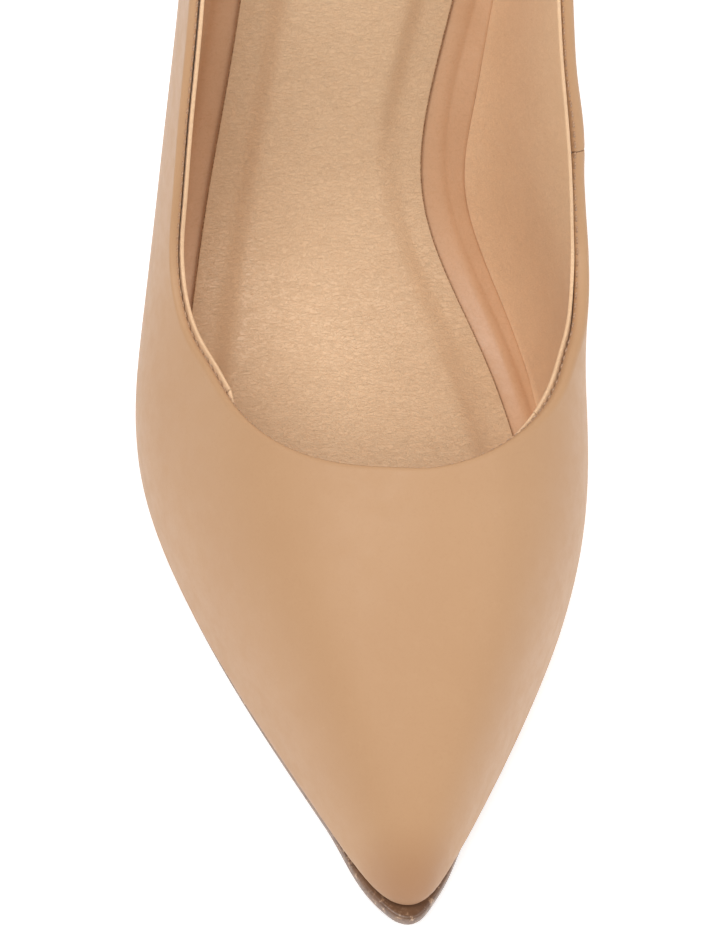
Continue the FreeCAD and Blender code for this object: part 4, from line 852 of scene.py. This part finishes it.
left = resampled(rising(left_corner), np.linspace(0, 1, HEEL_ROWS))
right = resampled(rising(right_corner), np.linspace(0, 1, HEEL_ROWS))
rings = []
for row in range(HEEL_ROWS):
    share = row / (HEEL_ROWS - 1)
    a, b = right[row], left[row]
    if row in (0, HEEL_ROWS - 1):
        chain = foot_chain if row == 0 else seat_chain
        around = resampled(towards(chain, a), np.linspace(0, 1, BACK_POINTS))
    else:
        height = foot_chain[:, 2].max() * (1 - share) + seat_chain[np.argmax(seat_chain[:, 1]), 2] * share
        hit = heel_tree.ray_cast(Vector((0, 0.1, height)), Vector((0, -1, 0)), 0.2)[0]
        back = np.array(hit)
        front = (a + b) / 2
        centre = front * 0.5 + back * 0.5
        across = unit(a - b)
        rear = back - front
        rear = unit(rear - across * (rear @ across))
        angles = [math.atan2((p - centre) @ rear, (p - centre) @ across) for p in (a, b)]
        low, high = angles[0], angles[1] if angles[1] > 0 else angles[1] + 2 * math.pi
        around = [a]
        for turn in np.linspace(low, high, BACK_POINTS)[1:-1]:
            ray = math.cos(turn) * across + math.sin(turn) * rear
            hit = heel_tree.ray_cast(Vector(centre + ray * 0.06), Vector(-ray), 0.06)[0]
            around.append(np.array(hit) if hit is not None else around[-1])
        around.append(b)
        around = resampled(np.array(around), np.linspace(0, 1, BACK_POINTS))
    breast = np.linspace(b, a, BREAST_POINTS)[1:-1]
    for point in breast:
        hit = heel_tree.ray_cast(Vector((point[0], -0.1, point[2])), Vector((0, 1, 0)), 0.2)[0]
        if hit is not None and 0 < row < HEEL_ROWS - 1:
            point[1] = min(hit.y, point[1] + 0.001)
    rings.append(np.vstack((around, breast)))
heel = np.array(rings)
heel[1:-1] = blurred(heel, 8, 0)[1:-1]
heel = blurred(heel, 3, 1, closed=True)
for _ in range(2):
    heel = heel + 0.3 * ((np.roll(heel, 1, 1) + np.roll(heel, -1, 1)) / 2 - heel)
heel[-1, :, 2] += TOP_RISE                   # up into the joint under the heel seat
seam_column = BACK_POINTS + BREAST_POINTS // 2 - 1
distance = np.abs(np.arange(heel.shape[1]) - seam_column)
groove = SEAM_GROOVE * np.exp(-(distance / 0.5) ** 2)
heel = heel + np.array((0, 1.0, 0)) * groove[None, :, None]
middles = heel.mean(axis=1, keepdims=True)
inward = unit((middles - heel) * np.array((1, 1, 0.2)))
shell = np.concatenate((heel, (heel + inward * HEEL_LEATHER)[::-1]), axis=0)
piece("heel_wrap", shell, grid_faces(*shell.shape[:2], closed_rows=True, closed_columns=True), HEEL_NUDE,
      "heel_leather", "heel_cover")


# ------------------------------------------------------------------ stitches

THREAD_SIDES = 8
TOPLINE_PITCH, TOPLINE_STITCH, TOPLINE_THREAD = 0.0019, 0.0013, 0.00015     # spacing, length, radius
SEAM_PITCH, SEAM_STITCH, SEAM_THREAD = 0.0026, 0.0017, 0.00018


def capsules(name, starts, ends, normals, radius, material, replaced):
    """Separate stitches: short rounded threads that dip into the leather at both ends."""
    points, faces, twist = [], [], []
    profile = ((0.0, 0.15, -1.3), (0.05, 0.7, -0.7), (0.16, 1.0, -0.1), (0.5, 1.08, 0.15), (0.84, 1.0, -0.1),
               (0.95, 0.7, -0.7), (1.0, 0.15, -1.3))
    for start, end, normal in zip(starts, ends, normals):
        along = end - start
        side = unit(np.cross(along, normal))
        up = unit(np.cross(side, along))
        base = len(points)
        for share, girth, lift in profile:
            centre = start + along * share + up * lift * radius
            for k in range(THREAD_SIDES):
                turn = 2 * math.pi * k / THREAD_SIDES
                points.append(centre + (side * math.cos(turn) + up * math.sin(turn)) * radius * girth)
                twist.append(share * 14 + turn)
        for i in range(len(profile) - 1):
            for k in range(THREAD_SIDES):
                a = base + i * THREAD_SIDES + k
                b = base + i * THREAD_SIDES + (k + 1) % THREAD_SIDES
                faces.append((a, b, b + THREAD_SIDES, a + THREAD_SIDES))
        faces.append(tuple(base + k for k in reversed(range(THREAD_SIDES))))
        last = base + (len(profile) - 1) * THREAD_SIDES
        faces.append(tuple(last + k for k in range(THREAD_SIDES)))
    piece(name, points, faces, material, "thread", *replaced, masks={"twist": twist},
          smooth_levels=0)


def stitch_line(line, normals, pitch, length, lift):
    """Even stitches along a polyline that lies on the leather."""
    count = int(length_of(line) / pitch)
    shares = (np.arange(count) + 0.5) / count
    half = length / 2 / length_of(line)
    starts, ends = resampled(line, shares - half), resampled(line, shares + half)
    lengths = np.r_[0, np.cumsum(np.linalg.norm(np.diff(line, axis=0), axis=1))]
    near = np.array([np.interp(shares * lengths[-1], lengths, normals[:, k]) for k in range(3)]).T
    near = unit(near)
    return starts + near * lift, ends + near * lift, near


down = unit(outer[:, 1] - outer[:, 0])
lean = math.radians(128)                     # where on the turned edge the stitches lie
fold = fold[:, None]
fold_centre = outer[:, 0] - outer_normals[:, 0] * fold + down * (fold - FOLD_RISE)
stitch_normals = outer_normals[:, 0] * math.cos(lean) - down * math.sin(lean)
stitch_row = fold_centre + stitch_normals * fold
trimmed = slice(2, -2)
starts, ends, near = stitch_line(stitch_row[trimmed], stitch_normals[trimmed], TOPLINE_PITCH,
                                 TOPLINE_STITCH, 0.00001)
capsules("topline_stitches", starts, ends, near, TOPLINE_THREAD, THREAD, ["topline_thread"])
seam_line = outer[SEAM + 4, 3:26]
starts, ends, near = stitch_line(seam_line, outer_normals[SEAM + 4, 3:26], SEAM_PITCH, SEAM_STITCH,
                                 -0.00002)
capsules("side_seam_stitches", starts, ends, near, SEAM_THREAD, THREAD, ["side_seam_thread"])


# ------------------------------------------------------------------ CAD nodes that stay as they are

KEPT = {
    "insole_board": BOARD, "shank_board": BOARD, "heel_counter": STIFFENER, "toe_puff": STIFFENER,
    "vamp_backer": CLOTH, "quarter_backer_medial": CLOTH, "quarter_backer_lateral": CLOTH,
    "topline_tape": CLOTH, "forepart_filler": BOARD, "steel_shank": STEEL, "heel_nails": STEEL,
    "heel_screw": STEEL, "shank_rivets": STEEL, "top_lift_pin": STEEL, "heel_tube": STEEL,
    "heel_block": PLASTIC, "top_lift": RUBBER,
}
for name, material in KEPT.items():
    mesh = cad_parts[name].data
    mesh.materials.clear()
    mesh.materials.append(material)


# ------------------------------------------------------------------ floor, light and camera

MIDDLE = (0, -0.1, 0.05)
FLOOR_HALF = 3.0

def area_light(name, place, size, power):
    """A round white softbox that faces the middle of the shoe."""
    light = bpy.data.lights.new(name, "AREA")
    light.shape, light.size, light.energy = "DISK", size, power
    obj = bpy.data.objects.new(name, light)
    obj.location = place
    obj.rotation_euler = (Vector(MIDDLE) - Vector(place)).to_track_quat("-Z", "Y").to_euler()
    bpy.context.scene.collection.objects.link(obj)


floor_graph = Graph("floor")
FLOOR = floor_graph.finish(Base_Color=floor_graph.mix(floor_graph.span(floor_graph.noise(60, 2), 0.3, 0.7),
                                                      (0.90, 0.90, 0.90, 1), (0.93, 0.93, 0.93, 1)),
                           Roughness=0.9, Specular_IOR_Level=0.1, Emission_Strength=0.45,
                           Emission_Color=(1.0, 1.0, 1.0, 1.0))
mesh = bpy.data.meshes.new("floor")
corners = [(x * FLOOR_HALF, y * FLOOR_HALF, 0) for x, y in ((-1, -1), (1, -1), (1, 1), (-1, 1))]
mesh.from_pydata(corners, [], [(0, 1, 2, 3)])
mesh.materials.append(FLOOR)
floor = bpy.data.objects.new("floor", mesh)
floor.location.z = -0.0001
bpy.context.scene.collection.objects.link(floor)

world = bpy.data.worlds.new("studio")
bpy.context.scene.world = world
world.use_nodes = True
sky, seen = (world.node_tree.nodes.new("ShaderNodeBackground") for _ in range(2))
sky.inputs["Strength"].default_value, seen.inputs["Strength"].default_value = 0.37, 1.0
for background in (sky, seen):
    background.inputs["Color"].default_value = (1.0, 1.0, 1.0, 1.0)
chooser = world.node_tree.nodes.new("ShaderNodeMixShader")
ray_kind = world.node_tree.nodes.new("ShaderNodeLightPath")
world.node_tree.links.new(ray_kind.outputs["Is Camera Ray"], chooser.inputs[0])
world.node_tree.links.new(sky.outputs[0], chooser.inputs[1])
world.node_tree.links.new(seen.outputs[0], chooser.inputs[2])
world.node_tree.links.new(chooser.outputs[0], world.node_tree.nodes["World Output"].inputs["Surface"])
area_light("key", (-0.38, -0.42, 1.05), 0.9, 9.2)
area_light("fill", (0.7, -0.35, 0.8), 0.9, 4.2)
area_light("back", (0.1, 0.8, 0.9), 0.8, 2.6)
bpy.context.scene.view_settings.view_transform = "Standard"

AZIMUTH, ELEVATION, ROLL = (math.radians(angle) for angle in (-10, 60, 8))
DISTANCE, FOCAL = 0.900, 5329.5               # metres, and pixels of a 720 x 928 picture
TARGET = np.array((0.0, -0.120, 0.030))
SHIFT_RIGHT, SHIFT_UP = 0.00304, 0.00844
SENSOR, PICTURE_HEIGHT = 36.0, 928
back = np.array((math.sin(AZIMUTH) * math.cos(ELEVATION), -math.cos(AZIMUTH) * math.cos(ELEVATION),
                 math.sin(ELEVATION)))
right_plain = unit(np.cross(-back, UP))
up_plain = np.cross(right_plain, -back)
cam_right = right_plain * math.cos(ROLL) + up_plain * math.sin(ROLL)
cam_up = up_plain * math.cos(ROLL) - right_plain * math.sin(ROLL)
camera = bpy.data.objects.new("camera", bpy.data.cameras.new("camera"))
camera.data.sensor_width = SENSOR
camera.data.lens = FOCAL * SENSOR / PICTURE_HEIGHT
camera.data.clip_start, camera.data.clip_end = 0.01, 20
place = TARGET - cam_right * SHIFT_RIGHT - cam_up * SHIFT_UP + back * DISTANCE
turn = Matrix((cam_right.tolist(), cam_up.tolist(), back.tolist())).transposed()
camera.matrix_world = Matrix.Translation(Vector(place)) @ turn.to_4x4()
bpy.context.scene.collection.objects.link(camera)
bpy.context.scene.camera = camera
